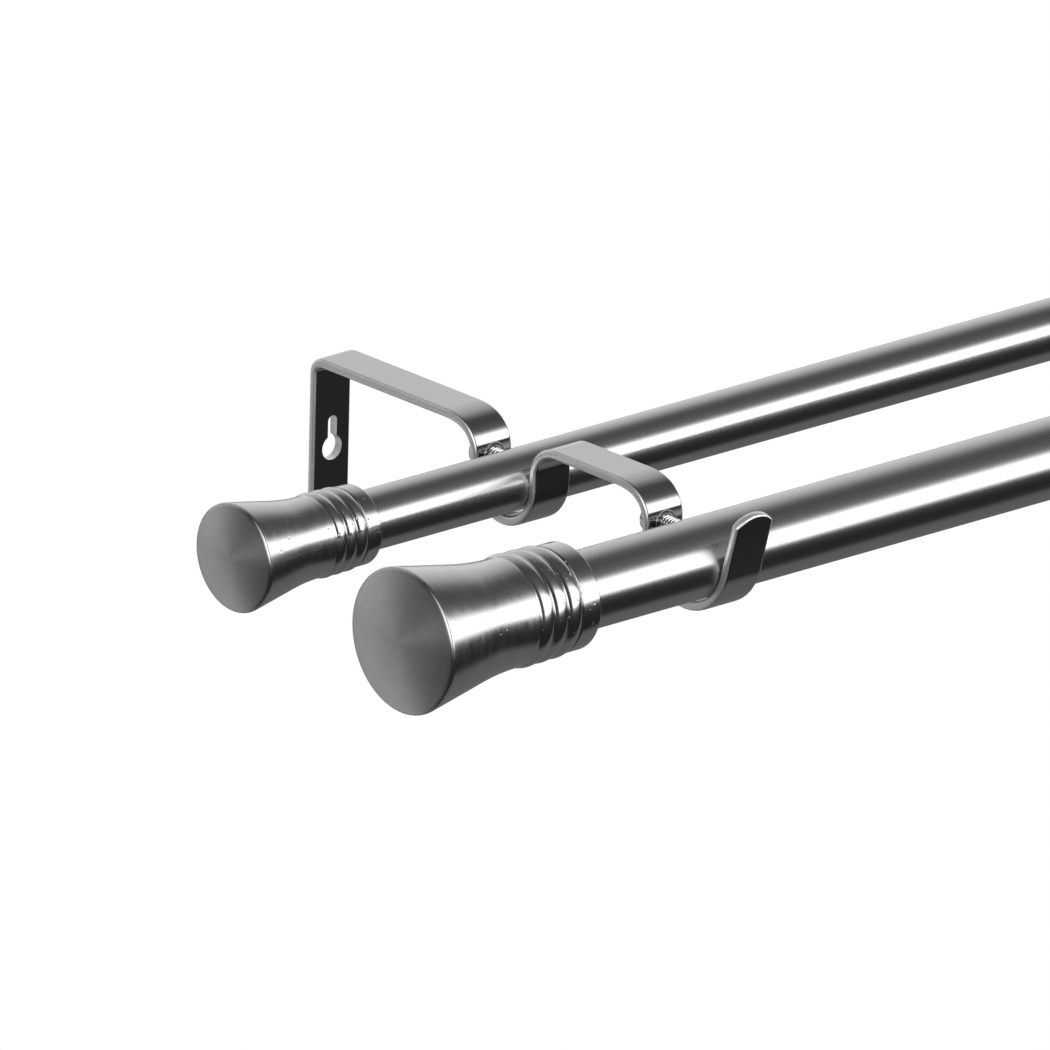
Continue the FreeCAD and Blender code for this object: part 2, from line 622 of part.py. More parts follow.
def screw_hole_outline(body, row):
    sketch = new_sketch(body, f"{row}_screw_hole_outline", "XZ_Plane",
                        offset=f"Places.{row}_leg_front + Sizes.cut_overrun")
    height = number("Places.screw_height")
    radius = number("Places.screw_hole_radius")
    whole = Part.Circle(FreeCAD.Vector(0, height, 0), FreeCAD.Vector(0, 0, 1), radius)
    hole = sketch.addGeometry(whole, False)
    rule(sketch, "PointOnObject", hole, CENTRE, AXIS_V)
    size(sketch, "DistanceY", "Places.screw_height", *ORIGIN, hole, CENTRE)
    size(sketch, "Radius", "Places.screw_hole_radius", hole)
    return sketch


def tip_outline(body):
    """What is cut away above the lip's convex end."""
    sketch = new_sketch(body, "tip_outline", "XZ_Plane", offset="Sizes.front_reach")
    half_width = number("Sizes.strip_width") / 2
    low = number("Places.tip_low")
    top = low + number("Places.tip_cut_height")
    radius = number("Places.tip_radius")
    outer = half_width + number("Sizes.cut_overrun")
    centre = (0, low + number("Sizes.tip_rise") - radius)
    tip = arc(sketch, centre, radius, angle_of(centre, (half_width, low)),
              angle_of(centre, (-half_width, low)))
    right_ledge = line(sketch, (half_width, low), (outer, low))
    right = line(sketch, (outer, low), (outer, top))
    over = line(sketch, (outer, top), (-outer, top))
    left = line(sketch, (-outer, top), (-outer, low))
    left_ledge = line(sketch, (-outer, low), (-half_width, low))
    chain(sketch, [("Coincident", (tip, START), (right_ledge, START)),
                   ("Coincident", (right_ledge, END), (right, START)),
                   ("Coincident", (right, END), (over, START)),
                   ("Coincident", (over, END), (left, START)),
                   ("Coincident", (left, END), (left_ledge, START)),
                   ("Coincident", (left_ledge, END), (tip, END))])
    for level in (right_ledge, over, left_ledge):
        rule(sketch, "Horizontal", level)
    for upright in (right, left):
        rule(sketch, "Vertical", upright)
    size(sketch, "DistanceX", "Sizes.strip_width", tip, END, tip, START)
    rule(sketch, "PointOnObject", tip, CENTRE, AXIS_V)
    size(sketch, "Radius", "Places.tip_radius", tip)
    size(sketch, "DistanceY", "Places.tip_low", *ORIGIN, tip, START)
    size(sketch, "DistanceY", "Places.tip_low", *ORIGIN, tip, END)
    size(sketch, "DistanceX", "Sizes.cut_overrun", right_ledge, START, right_ledge, END)
    size(sketch, "DistanceX", "Sizes.cut_overrun", left_ledge, START, left_ledge, END)
    size(sketch, "DistanceY", "Places.tip_cut_height", right, START, right, END)
    return sketch


def make_bracket(side, side_name):
    body = new_body(f"bracket_{side_name}")
    route = strip_route(body)
    section = strip_section(body)
    document.recompute()
    strip = body.newObject("PartDesign::AdditivePipe", "bent_strip")
    strip.Profile = section
    strip.Spine = (route, [f"Edge{index + 1}" for index in range(route.GeometryCount)])
    strip.Mode = "Standard"
    body.Tip = strip
    pocket(body, "keyhole", keyhole_outline(body), "Sizes.strip_thickness", True)
    pocket(body, "back_screw_hole", screw_hole_outline(body, "back"),
           "Places.screw_hole_depth", False)
    pocket(body, "front_screw_hole", screw_hole_outline(body, "front"),
           "Places.screw_hole_depth", False)
    pocket(body, "rounded_tip", tip_outline(body), "Places.tip_cut_depth", True)
    set_place(body, x=("" if side > 0 else "-") + "Places.bracket_place")
    return body


# Screws: pan heads on the wall side of each leg, points against the poles

def screw_profile(body, row):
    """Half of the screw, x along its axis from the crown of the head to the point."""
    sketch = new_sketch(body, f"{row}_screw_profile", "XY_Plane")
    head = number("Sizes.screw_head_radius")
    crown = number("Sizes.screw_crown_radius")
    rim = number("Sizes.screw_rim_height")
    under = number("Sizes.screw_head_height")
    thread = number("Sizes.thread_radius")
    total = number(f"Places.{row}_screw_total")
    chamfer = number("Sizes.screw_point_chamfer")
    point = number("Places.point_radius")
    corners = [(0, 0), (0, crown), (rim, head), (under, head), (under, thread),
               (total - chamfer, thread), (total, point), (total, 0)]
    edges = [line(sketch, corner, corners[(index + 1) % len(corners)])
             for index, corner in enumerate(corners)]
    for index, edge in enumerate(edges):
        rule(sketch, "Coincident", edge, END, edges[(index + 1) % len(edges)], START)
    top, shoulder, rim_side, underside, shank, point_side, point_face, axis = edges
    for upright in (top, underside, point_face):
        rule(sketch, "Vertical", upright)
    for level in (rim_side, shank):
        rule(sketch, "Horizontal", level)
    rule(sketch, "Coincident", top, START, *ORIGIN)
    rule(sketch, "PointOnObject", point_face, END, AXIS_H)
    size(sketch, "DistanceY", "Sizes.screw_crown_radius", *ORIGIN, top, END)
    place(sketch, (rim_side, START), "Sizes.screw_rim_height", "Sizes.screw_head_radius")
    size(sketch, "DistanceX", "Sizes.screw_head_height", *ORIGIN, rim_side, END)
    size(sketch, "DistanceY", "Sizes.thread_radius", *ORIGIN, shank, START)
    size(sketch, "DistanceX", "Sizes.screw_point_chamfer", shank, END, point_side, END)
    size(sketch, "DistanceX", f"Places.{row}_screw_total", *ORIGIN, point_face, START)
    size(sketch, "DistanceY", "Places.point_radius", *ORIGIN, point_face, START)
    return sketch


def recess_arm_outline(body):
    """One of the four arms of the cross recess in the head."""
    sketch = new_sketch(body, "recess_arm_outline", "YZ_Plane")
    half = number("Sizes.recess_width") / 2
    reach = number("Sizes.recess_reach")
    corners = [(0, -half), (reach, -half), (reach, half), (0, half)]
    edges = [line(sketch, corner, corners[(index + 1) % 4])
             for index, corner in enumerate(corners)]
    for index, edge in enumerate(edges):
        rule(sketch, "Coincident", edge, END, edges[(index + 1) % 4], START)
    lower, end, upper, root = edges
    rule(sketch, "Horizontal", lower)
    rule(sketch, "Horizontal", upper)
    rule(sketch, "Vertical", end)
    rule(sketch, "Symmetric", root, START, root, END, AXIS_H)
    rule(sketch, "PointOnObject", lower, START, AXIS_V)
    size(sketch, "DistanceY", "Sizes.recess_width", end, START, end, END)
    size(sketch, "DistanceX", "Sizes.recess_reach", *ORIGIN, lower, END)
    return sketch


def make_screw(row, side, side_name):
    body = new_body(f"{row}_pole_screw_{side_name}")
    revolve(body, f"{row}_screw_blank", screw_profile(body, row))
    arm = pocket(body, f"{row}_screw_recess_arm", recess_arm_outline(body),
                 "Sizes.recess_depth", True)
    cross = body.newObject("PartDesign::PolarPattern", f"{row}_screw_recess")
    axes = {feature.Role: feature for feature in body.Origin.OriginFeatures}
    cross.Originals = [arm]
    cross.Axis = (axes["X_Axis"], [""])
    cross.Angle = 360
    cross.Occurrences = 4
    body.Tip = cross
    body.Placement.Rotation = FreeCAD.Rotation(FreeCAD.Vector(0, 0, 1), -90)
    set_place(body, x=("" if side > 0 else "-") + "Places.bracket_place",
              y=f"-Places.{row}_screw_place", z="Places.screw_height")
    return body


# The whole assembly

SIDES = {"left": -1, "right": 1}

pieces = [make_pole(row) for row in ("front", "back")]
for side_name, side in SIDES.items():
    pieces.append(make_bracket(side, side_name))
    for row in ("front", "back"):
        pieces.append(make_finial(row, side, side_name))
        pieces.append(make_bush(row, side, side_name))
        pieces.append(make_screw(row, side, side_name))

document.recompute()

for item in document.Objects:
    if "Invalid" in item.State or "Error" in item.State:
        raise RuntimeError(f"{item.Label} failed: {item.State}")
    if item.TypeId == "Sketcher::SketchObject" and not item.FullyConstrained:
        raise RuntimeError(f"{item.Label} is not fully constrained")

os.makedirs("parts", exist_ok=True)
for piece in pieces:
    shape = piece.Shape
    if shape.isNull() or not shape.isValid() or len(shape.Solids) != 1:
        raise RuntimeError(f"{piece.Label} is not one valid solid")
    shape.exportStep(os.path.join("parts", f"{piece.Label}.step"))
    box = shape.optimalBoundingBox()
    print(f"{piece.Label}: {shape.Volume / 1000:.2f} cm3, "
          f"x {box.XMin:.1f} to {box.XMax:.1f}, y {box.YMin:.1f} to {box.YMax:.1f}, "
          f"z {box.ZMin:.1f} to {box.ZMax:.1f}")
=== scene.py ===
# %% [markdown]
# # A double curtain pole in satin nickel
#
# Two round steel tubes lie side by side in a pair of brackets, each bent from one flat strip, and
# every tube ends in a trumpet-shaped finial with three raised rings. The packed solids give the
# place and the size of everything. This script dresses them: it rebuilds each visible piece with
# smooth curves and softened edges, gives it a brushed or plated metal, and sets up the studio.
#
# The scene is in metres, in the part's own frame: +X along the poles, +Y into the wall, +Z up.
# The shapes are drawn in millimetres, as on a workshop drawing, and `MM` turns them into metres.

import math

import bmesh
import bpy
from mathutils import Matrix, Vector


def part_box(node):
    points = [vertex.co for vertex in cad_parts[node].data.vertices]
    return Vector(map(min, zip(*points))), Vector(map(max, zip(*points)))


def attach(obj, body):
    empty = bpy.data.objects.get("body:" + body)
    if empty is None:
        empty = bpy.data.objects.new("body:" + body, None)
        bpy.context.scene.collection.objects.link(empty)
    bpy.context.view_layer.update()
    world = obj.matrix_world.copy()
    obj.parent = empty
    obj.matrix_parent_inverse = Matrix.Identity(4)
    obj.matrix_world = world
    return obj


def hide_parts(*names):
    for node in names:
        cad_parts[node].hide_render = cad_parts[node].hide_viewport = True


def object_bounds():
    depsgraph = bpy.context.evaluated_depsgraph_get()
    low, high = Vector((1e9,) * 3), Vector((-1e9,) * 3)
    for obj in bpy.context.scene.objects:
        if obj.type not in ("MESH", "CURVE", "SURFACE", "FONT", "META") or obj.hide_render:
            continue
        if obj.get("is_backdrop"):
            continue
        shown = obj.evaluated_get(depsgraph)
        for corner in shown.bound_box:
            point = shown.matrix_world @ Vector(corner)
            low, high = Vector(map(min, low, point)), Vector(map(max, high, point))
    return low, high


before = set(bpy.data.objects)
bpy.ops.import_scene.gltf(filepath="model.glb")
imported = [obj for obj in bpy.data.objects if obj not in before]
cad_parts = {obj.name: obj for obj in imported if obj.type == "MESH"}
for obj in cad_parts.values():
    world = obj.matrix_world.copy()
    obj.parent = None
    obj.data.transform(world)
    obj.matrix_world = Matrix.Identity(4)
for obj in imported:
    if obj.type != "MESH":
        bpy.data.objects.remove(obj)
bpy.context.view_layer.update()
MM = 0.001
print("nodes:", ", ".join(sorted(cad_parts)))

# %% [markdown]
# ## The photograph's viewpoint
#
# The photograph is almost without perspective, so the camera stands far away with a very long
# lens. It looks along the poles from their left end, from the front and a little above.
#
# A camera could be turned by hand until the picture fits. Here its axes are worked out from an
# azimuth, an elevation and a roll, because each of these can be fitted to the poles, the strips
# and the keyhole by itself.

# %% Camera
VIEW_AIM = Vector((-0.59103, -0.173, 0.03878))
VIEW_AZIMUTH = math.radians(42.3533)
VIEW_ELEVATION = math.radians(19.7091)
VIEW_ROLL = math.radians(-1.3671)
VIEW_DISTANCE = 12.1808
LENS_MM = 1371.43
SENSOR_MM = 36
NEAR_LIMIT = 0.1
FAR_LIMIT = 100

look = Vector((math.sin(VIEW_AZIMUTH) * math.cos(VIEW_ELEVATION),
               math.cos(VIEW_AZIMUTH) * math.cos(VIEW_ELEVATION),
               -math.sin(VIEW_ELEVATION)))
level_right = look.cross(Vector((0, 0, 1))).normalized()
level_up = level_right.cross(look)
view_up = level_up * math.cos(VIEW_ROLL) + level_right * math.sin(VIEW_ROLL)
view_right = look.cross(view_up)
camera_data = bpy.data.cameras.new("photo_camera")
camera_data.lens = LENS_MM
camera_data.sensor_width = SENSOR_MM
camera_data.clip_start = NEAR_LIMIT
camera_data.clip_end = FAR_LIMIT
camera = bpy.data.objects.new("photo_camera", camera_data)
bpy.context.collection.objects.link(camera)
camera_axes = Matrix((view_right, view_up, -look)).transposed().to_4x4()
camera.matrix_world = Matrix.Translation(VIEW_AIM - look * VIEW_DISTANCE) @ camera_axes
bpy.context.scene.camera = camera
print("camera", [round(value, 3) for value in camera.location])

# %% [markdown]
# ## Building materials from small groups
#
# A material is a tree of nodes and links. It can be wired by hand in the shader editor, but a list
# in code is easier to read and to repeat. `Nodes` keeps that list short: an input is set by its
# name, and it is linked instead when its value is the socket of another node.
#
# Each effect that more than one metal uses is a node group of its own. It hands out a mask, and
# every metal decides how strongly the mask acts on its colour, its roughness and its surface.

# %% A small helper for node trees


class Nodes:
    """Adds nodes to a tree and links them by socket name."""

    def __init__(self, tree):
        self.tree = tree
        tree.nodes.clear()

    def link(self, source, target):
        self.tree.links.new(source, target)

    def fill(self, target, value):
        """Links an input to a socket, or sets it to a plain value."""
        if isinstance(value, bpy.types.NodeSocket):
            self.link(value, target)
        else:
            target.default_value = value

    def add(self, kind, inputs=None, **settings):
        node = self.tree.nodes.new(kind)
        for name, value in settings.items():
            setattr(node, name, value)
        for name, value in (inputs or {}).items():
            self.fill(node.inputs[name], value)
        return node

    def math(self, operation, *values):
        node = self.add("ShaderNodeMath", operation=operation)
        for target, value in zip(node.inputs, values):
            self.fill(target, value)
        return node.outputs[0]

    def ramp(self, factor, stops):
        """Grey levels that run between stops of (place, level)."""
        node = self.add("ShaderNodeValToRGB", {"Fac": factor})
        elements = node.color_ramp.elements
        while len(elements) < len(stops):
            # a new stop may start anywhere, because the loop below moves it
            elements.new(0.5)
        for element, (place, level) in zip(elements, stops):
            element.position = place
            element.color = (level, level, level, 1)
        return node.outputs["Color"]


print("helper:", Nodes.__name__, "with", ", ".join(name for name in vars(Nodes) if name[0] != "_"))

# %% Starting a group or a material


def new_group(name, inputs, outputs):
    """A shader node group: itself, its nodes, its given values and its results."""
    group = bpy.data.node_groups.new(name, "ShaderNodeTree")
    for label, kind, value in inputs:
        socket = group.interface.new_socket(label, in_out="INPUT", socket_type=kind)
        socket.default_value = value
    for label, kind in outputs:
        group.interface.new_socket(label, in_out="OUTPUT", socket_type=kind)
    nodes = Nodes(group)
    return group, nodes, nodes.add("NodeGroupInput"), nodes.add("NodeGroupOutput")


def new_material(name):
    """A material: itself, its nodes and its output."""
    material = bpy.data.materials.new(name)
    material.use_nodes = True
    nodes = Nodes(material.node_tree)
    return material, nodes, nodes.add("ShaderNodeOutputMaterial")


print("helpers:", new_group.__name__, "and", new_material.__name__)

# %% [markdown]
# ## Effect 1: turning marks
#
# The finials were polished while they spun, so fine lines run round their axis, and wider bands
# are a little duller or brighter. The poles were brushed as they turned, and have such lines too.
#
# A picture of scratches would need unwrapped meshes and would show a seam. Noise needs neither. It
# is read in a space of (distance along the axis, direction round it), where it changes quickly
# along the axis and slowly round it. Part of the radius is added to the distance, so the same
# noise draws lines round a side and circles on a face.

# %% Turning marks group
LINES_PER_METRE = 4200
BANDS_PER_METRE = 420
LINE_WANDER = 1.3
BAND_WANDER = 3.0
RADIUS_PART = 1.7
LEAST_RADIUS = 0.0001


def make_turning_group():
    group, nodes, given, result = new_group(
        "turning_marks",
        [("Axis Y", "NodeSocketFloat", 0.0), ("Axis Z", "NodeSocketFloat", 0.0),
         ("Fineness", "NodeSocketFloat", 1.0)],
        [("Lines", "NodeSocketFloat"), ("Patches", "NodeSocketFloat")])
    place = nodes.add("ShaderNodeTexCoord").outputs["Object"]
    xyz = nodes.add("ShaderNodeSeparateXYZ", {"Vector": place})
    off_y = nodes.math("SUBTRACT", xyz.outputs["Y"], given.outputs["Axis Y"])
    off_z = nodes.math("SUBTRACT", xyz.outputs["Z"], given.outputs["Axis Z"])
    squares = nodes.math("ADD", nodes.math("MULTIPLY", off_y, off_y),
                         nodes.math("MULTIPLY", off_z, off_z))
    radius = nodes.math("SQRT", squares)
    divisor = nodes.math("MAXIMUM", radius, LEAST_RADIUS)
    round_y = nodes.math("DIVIDE", off_y, divisor)
    round_z = nodes.math("DIVIDE", off_z, divisor)
    along = nodes.math("ADD", xyz.outputs["X"], nodes.math("MULTIPLY", radius, RADIUS_PART))
    lines_along = nodes.math("MULTIPLY", nodes.math("MULTIPLY", along, LINES_PER_METRE),
                             given.outputs["Fineness"])
    bands_along = nodes.math("MULTIPLY", along, BANDS_PER_METRE)

    def stretched_noise(count_along, wander, detail, roughness):
        stretched = nodes.add("ShaderNodeCombineXYZ", {
            "X": count_along,
            "Y": nodes.math("MULTIPLY", round_y, wander),
            "Z": nodes.math("MULTIPLY", round_z, wander)})
        return nodes.add("ShaderNodeTexNoise", {
            "Vector": stretched.outputs[0], "Scale": 1.0, "Detail": detail,
            "Roughness": roughness}).outputs["Fac"]

    lines = stretched_noise(lines_along, LINE_WANDER, detail=3.0, roughness=0.6)
    bands = stretched_noise(bands_along, BAND_WANDER, detail=2.0, roughness=0.5)
    nodes.link(lines, result.inputs["Lines"])
    nodes.link(bands, result.inputs["Patches"])
    return group


turning_marks = make_turning_group()
print("group", turning_marks.name)

# %% [markdown]
# ## Effect 2: handling wear
#
# Plated steel picks up faint smudges and a few tiny dents where it is packed, carried and hung.
# Both could be painted on by hand. Here soft noise gives the smudges. The dents are the centres of
# scattered cells, of which only some are used, so they lie at uneven distances as real ones do.

# %% Handling wear group
SMUDGE_SCALE = 55.0
CELLS_WITHOUT_DENT = 0.6


def make_wear_group():
    group, nodes, given, result = new_group(
        "handling_wear",
        [("Cell Size", "NodeSocketFloat", 0.006), ("Dent Size", "NodeSocketFloat", 0.06)],
        [("Smudges", "NodeSocketFloat"), ("Dents", "NodeSocketFloat")])
    place = nodes.add("ShaderNodeTexCoord").outputs["Object"]
    smudges = nodes.add("ShaderNodeTexNoise", {
        "Vector": place, "Scale": SMUDGE_SCALE, "Detail": 4.0, "Roughness": 0.55,
        "Distortion": 0.6})
    cells = nodes.add("ShaderNodeTexVoronoi", {
        "Vector": place, "Scale": nodes.math("DIVIDE", 1.0, given.outputs["Cell Size"])},
        feature="F1", distance="EUCLIDEAN")
    cell_number = nodes.add("ShaderNodeSeparateColor", {"Color": cells.outputs["Color"]})
    chosen = nodes.math("GREATER_THAN", cell_number.outputs[0], CELLS_WITHOUT_DENT)
    away = nodes.math("DIVIDE", cells.outputs["Distance"], given.outputs["Dent Size"])
    near = nodes.math("MAXIMUM", nodes.math("SUBTRACT", 1.0, away), 0.0)
    nodes.link(smudges.outputs["Fac"], result.inputs["Smudges"])
    nodes.link(nodes.math("MULTIPLY", near, chosen), result.inputs["Dents"])
    return group


handling_wear = make_wear_group()
print("group", handling_wear.name)

# %% [markdown]
# ## The metals
#
# Every metal here is plated steel, and only the polishing differs. So one function makes them all,
# and each gets its own colour, roughness and marks.
#
# Brushed and turned metal is rougher across its lines than along them, which draws a highlight out
# into a streak. The shader calls this anisotropy. Its direction follows a tangent round the poles'
# axis, given a quarter turn, so the streaks lie along the poles.

# %% One function for every metal
LEAST_ROUGHNESS = 0.04
TANGENT_TURN = 0.25
NOISE_MIDDLE = 0.5


def steel(name, color, roughness, anisotropy=0.0, axis=None, fineness=0.4, mark_rough=0.0,
          mark_tint=0.0, mark_depth=0.0, wear=0.0, dents=0.0, dent_cell=0.006, dent_size=0.06):
    """Plated steel with handling wear, and with turning marks where it is given their axis.

    The depths of marks and dents and the size of a dent's cell are in metres. The size of a dent
    is its share of the cell.
    """
    material, nodes, output = new_material(name)
    shader = nodes.add("ShaderNodeBsdfPrincipled", {
        "Metallic": 1.0, "Anisotropic": anisotropy, "Anisotropic Rotation": TANGENT_TURN})
    nodes.link(shader.outputs[0], output.inputs["Surface"])
    worn = nodes.add("ShaderNodeGroup", {"Cell Size": dent_cell, "Dent Size": dent_size},
                     node_tree=handling_wear)
    smudge = nodes.math("SUBTRACT", worn.outputs["Smudges"], NOISE_MIDDLE)
    rough = nodes.math("MULTIPLY_ADD", smudge, wear, roughness)
    height = nodes.math("MULTIPLY", worn.outputs["Dents"], -dents)
    tint = nodes.math("MULTIPLY_ADD", smudge, -wear, 1.0)
    if axis is not None:
        turned = nodes.add("ShaderNodeGroup", {
            "Axis Y": axis.y, "Axis Z": axis.z, "Fineness": fineness}, node_tree=turning_marks)
        line = nodes.math("SUBTRACT", turned.outputs["Lines"], NOISE_MIDDLE)
        patch = nodes.math("SUBTRACT", turned.outputs["Patches"], NOISE_MIDDLE)
        rough = nodes.math("MULTIPLY_ADD", patch, mark_rough, rough)
        rough = nodes.math("MULTIPLY_ADD", line, mark_rough, rough)
        tint = nodes.math("MULTIPLY_ADD", line, mark_tint, tint)
        height = nodes.math("MULTIPLY_ADD", line, mark_depth, height)
    rough = nodes.math("MAXIMUM", rough, LEAST_ROUGHNESS)
    base = nodes.add("ShaderNodeVectorMath", {"Vector": color, "Scale": tint}, operation="SCALE")
    bump = nodes.add("ShaderNodeBump", {"Height": height, "Strength": 1.0, "Distance": 1.0})
    tangent = nodes.add("ShaderNodeTangent", direction_type="RADIAL", axis="X")
    nodes.link(rough, shader.inputs["Roughness"])
    nodes.link(base.outputs[0], shader.inputs["Base Color"])
    nodes.link(bump.outputs[0], shader.inputs["Normal"])
    nodes.link(tangent.outputs[0], shader.inputs["Tangent"])
    return material


print("helper:", steel.__name__)

# %% [markdown]
# ### Nickel on the poles and the finials
#
# The poles are satin: their highlights are soft and run all along them. A finial has three
# finishes. Its face is satin, with fine circles. Its flared side is glossier, with clear lines and
# small dents. Its rings and its collar stand out and are rubbed the most, so they are brightest
# and show the most dents.
#
# Each finish could be a picture or a painted mask. They are separate materials here, because on
# the real piece they meet in sharp turned edges. They are made once for each pole, because their
# lines run round that pole's own axis.

# %% Nickel materials
NICKEL = (0.55, 0.55, 0.555)
POLE_NICKEL = (0.60, 0.60, 0.605)


def middle(node):
    """The middle of a solid of the frame."""
    low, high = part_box(node)
    return (Vector(low) + Vector(high)) / 2


pole_axis = {row: middle(f"{row}_pole") for row in ("front", "back")}
pole_metal = {}
side_metal = {}
ring_metal = {}
face_metal = {}
for row, axis in pole_axis.items():
    pole_metal[row] = steel(
        f"satin_nickel_{row}_pole", POLE_NICKEL, roughness=0.268, anisotropy=0.887, axis=axis,
        mark_rough=0.03, mark_depth=0.0000003, wear=0.01)
    side_metal[row] = steel(
        f"turned_nickel_{row}_side", NICKEL, roughness=0.205, axis=axis, fineness=0.6,
        mark_rough=0.18, mark_tint=0.2, mark_depth=0.000006, wear=0.05, dents=0.00007,
        dent_cell=0.0036, dent_size=0.16)
    ring_metal[row] = steel(
        f"turned_nickel_{row}_rings", NICKEL, roughness=0.14, axis=axis, fineness=0.6,
        mark_rough=0.1, mark_tint=0.15, mark_depth=0.000004, wear=0.04, dents=0.00013,
        dent_cell=0.0021, dent_size=0.2)
    face_metal[row] = steel(
        f"turned_nickel_{row}_face", NICKEL, roughness=0.307, anisotropy=0.76, axis=axis,
        fineness=0.12, mark_rough=0.05, mark_tint=0.25, mark_depth=0.000004, wear=0.06,
        dents=0.00008, dent_cell=0.008, dent_size=0.07)
    print(row, "pole's axis at", [round(value, 4) for value in (axis.y, axis.z)])

# %% [markdown]
# ### Strip and screws
#
# Steel strip comes from the rolls smooth, so its broad faces mirror the room after plating. Its
# narrow sides, the tip and the holes are sheared or punched, and tumbling rounds their corners.
# Plating stays dull and pale on such rough metal, and one material for the whole bracket would make
# the sides as dark as the faces. So the cut sides get a metal of their own. Its colour is much
# paler than nickel is, because it was fitted to the photograph in this rather dark studio: the
# rough finish is real, but the extra paleness is painted light that lightens the cut sides. The
# screws are bright and plain, with no marks.

# %% Strip and screw materials
STRIP_NICKEL = (0.49, 0.49, 0.495)
# the sheared metal's colour is painted much paler than nickel: its roughness is real, the extra
# paleness is painted light
SHEARED_NICKEL_PAINTED_PALER = (0.93, 0.93, 0.935)
SCREW_ZINC = (0.66, 0.66, 0.66)

bracket_metal = steel("plated_strip", STRIP_NICKEL, roughness=0.07, wear=0.03, dents=0.00003,
                      dent_cell=0.011)
# this metal's pale colour is painted light on the cut sides, the tip and the hole walls
edge_metal_painted_paler = steel("sheared_strip_edge_painted_paler", SHEARED_NICKEL_PAINTED_PALER, roughness=0.45, wear=0.05,
                   dents=0.00003, dent_cell=0.004)
screw_metal = steel("plated_screw", SCREW_ZINC, roughness=0.12, wear=0.06)
print("materials:", bracket_metal.name, edge_metal_painted_paler.name, screw_metal.name)

# %% [markdown]
# ### Moulded plastic
#
# Plastic bushes sit inside the finials' collars, where they grip the poles. They hardly show, so a
# dark plastic with the faint grain of a mould is enough. Noise gives the grain, as above.

# %% Bush plastic
GRAIN_SCALE = 900.0
GRAIN_SHADES = [(0.3, 0.051), (0.7, 0.066)]
GRAIN_ROUGHNESS = 0.15
LEAST_PLASTIC_ROUGHNESS = 0.42
GRAIN_DEPTH = 0.0001


def make_bush_plastic():
    material, nodes, output = new_material("moulded_bush")
    shader = nodes.add("ShaderNodeBsdfPrincipled")
    nodes.link(shader.outputs[0], output.inputs["Surface"])
    place = nodes.add("ShaderNodeTexCoord").outputs["Object"]
    grain = nodes.add("ShaderNodeTexNoise", {
        "Vector": place, "Scale": GRAIN_SCALE, "Detail": 3.0, "Roughness": 0.6}).outputs["Fac"]
    shade = nodes.ramp(grain, GRAIN_SHADES)
    rough = nodes.math("MULTIPLY_ADD", grain, GRAIN_ROUGHNESS, LEAST_PLASTIC_ROUGHNESS)
    bump = nodes.add("ShaderNodeBump", {
        "Height": grain, "Strength": 0.3, "Distance": GRAIN_DEPTH})
    nodes.link(shade, shader.inputs["Base Color"])
    nodes.link(rough, shader.inputs["Roughness"])
    nodes.link(bump.outputs[0], shader.inputs["Normal"])
    return material


bush_plastic = make_bush_plastic()
print("material:", bush_plastic.name)

# %% [markdown]
# ## Turned pieces
#
# Poles, finials and screw heads are bodies of revolution: a lathe spins the metal while a tool
# follows their outline. Blender has a Screw modifier that does the same to a drawn line. `lathe`
# builds the mesh itself instead, because it can then close the outline on the axis with a single
# point and turn the same outline round for the right end.

# %% Helpers for meshes
TURNED_EDGE = 40


def finish_mesh(name, builder):
    """The mesh of a builder, with all its faces turned outwards."""
    bmesh.ops.recalc_face_normals(builder, faces=builder.faces)
    mesh = bpy.data.meshes.new(name)
    builder.to_mesh(mesh)
    builder.free()
    return mesh


def smooth(mesh, sharp_from):
    """Shades a mesh smooth, except where it turns by more than an angle in degrees."""
    for polygon in mesh.polygons:
        polygon.use_smooth = True
    mesh.set_sharp_from_angle(angle=math.radians(sharp_from))


def add_piece(name, mesh, *metals):
    """A new piece in the scene, with its metals in the order of its slots."""
    piece = bpy.data.objects.new(name, mesh)
    bpy.context.collection.objects.link(piece)
    for metal in metals:
        mesh.materials.append(metal)
    return piece


def show(piece, node):
    """Stands a finished piece in for a node of the frame."""
    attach(piece, "root")
    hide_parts(node)


print("a turned edge is sharp from", TURNED_EDGE, "degrees")

# %% Arcs and the lathe
ON_AXIS = 1e-7


def arc_points(centre, radius, start, end, count):
    """Points on an arc from start to end, in degrees, both included."""
    angles = [math.radians(start + (end - start) * index / count) for index in range(count + 1)]
    return [(centre[0] + radius * math.cos(angle), centre[1] + radius * math.sin(angle))
            for angle in angles]


def lathe(name, outline, segments, place, mirror=1):
    """Spins an outline about +X (mirror 1) or -X (mirror -1) from a place on the axis."""
    builder = bmesh.new()
    angles = [math.tau * index / segments for index in range(segments)]
    rings = []
    for along, radius in outline:
        x = place.x + along * mirror
        if radius < ON_AXIS:
            rings.append([builder.verts.new((x, place.y, place.z))])
            continue
        rings.append([builder.verts.new((x, place.y + radius * math.cos(angle),
                                         place.z + radius * math.sin(angle)))
                      for angle in angles])
    for ring, following in zip(rings, rings[1:] + rings[:1]):
        for index in range(segments):
            after = (index + 1) % segments
            corners = [ring[index % len(ring)], ring[after % len(ring)],
                       following[after % len(following)], following[index % len(following)]]
            # a ring on the axis is a single point, so it is only counted once
            corners = list(dict.fromkeys(corners))
            if len(corners) > 2:
                builder.faces.new(corners)
    mesh = finish_mesh(name, builder)
    smooth(mesh, TURNED_EDGE)
    return mesh


print("a quarter circle in two steps:", [(round(x, 3), round(y, 3))
                                         for x, y in arc_points((0, 0), 1, 0, 90, 2)])

# %% [markdown]
# ### Poles
#
# A pole is a thin tube, cut square and deburred. Two cylinders and a Boolean would make it too,
# but then its ends would have no softened edge, which is what catches the light on a real one.

# %% Poles
POLE_WALL = 0.8 * MM
POLE_EDGE = 0.15 * MM
POLE_SEGMENTS = 192
POLE_EDGE_STEPS = 3


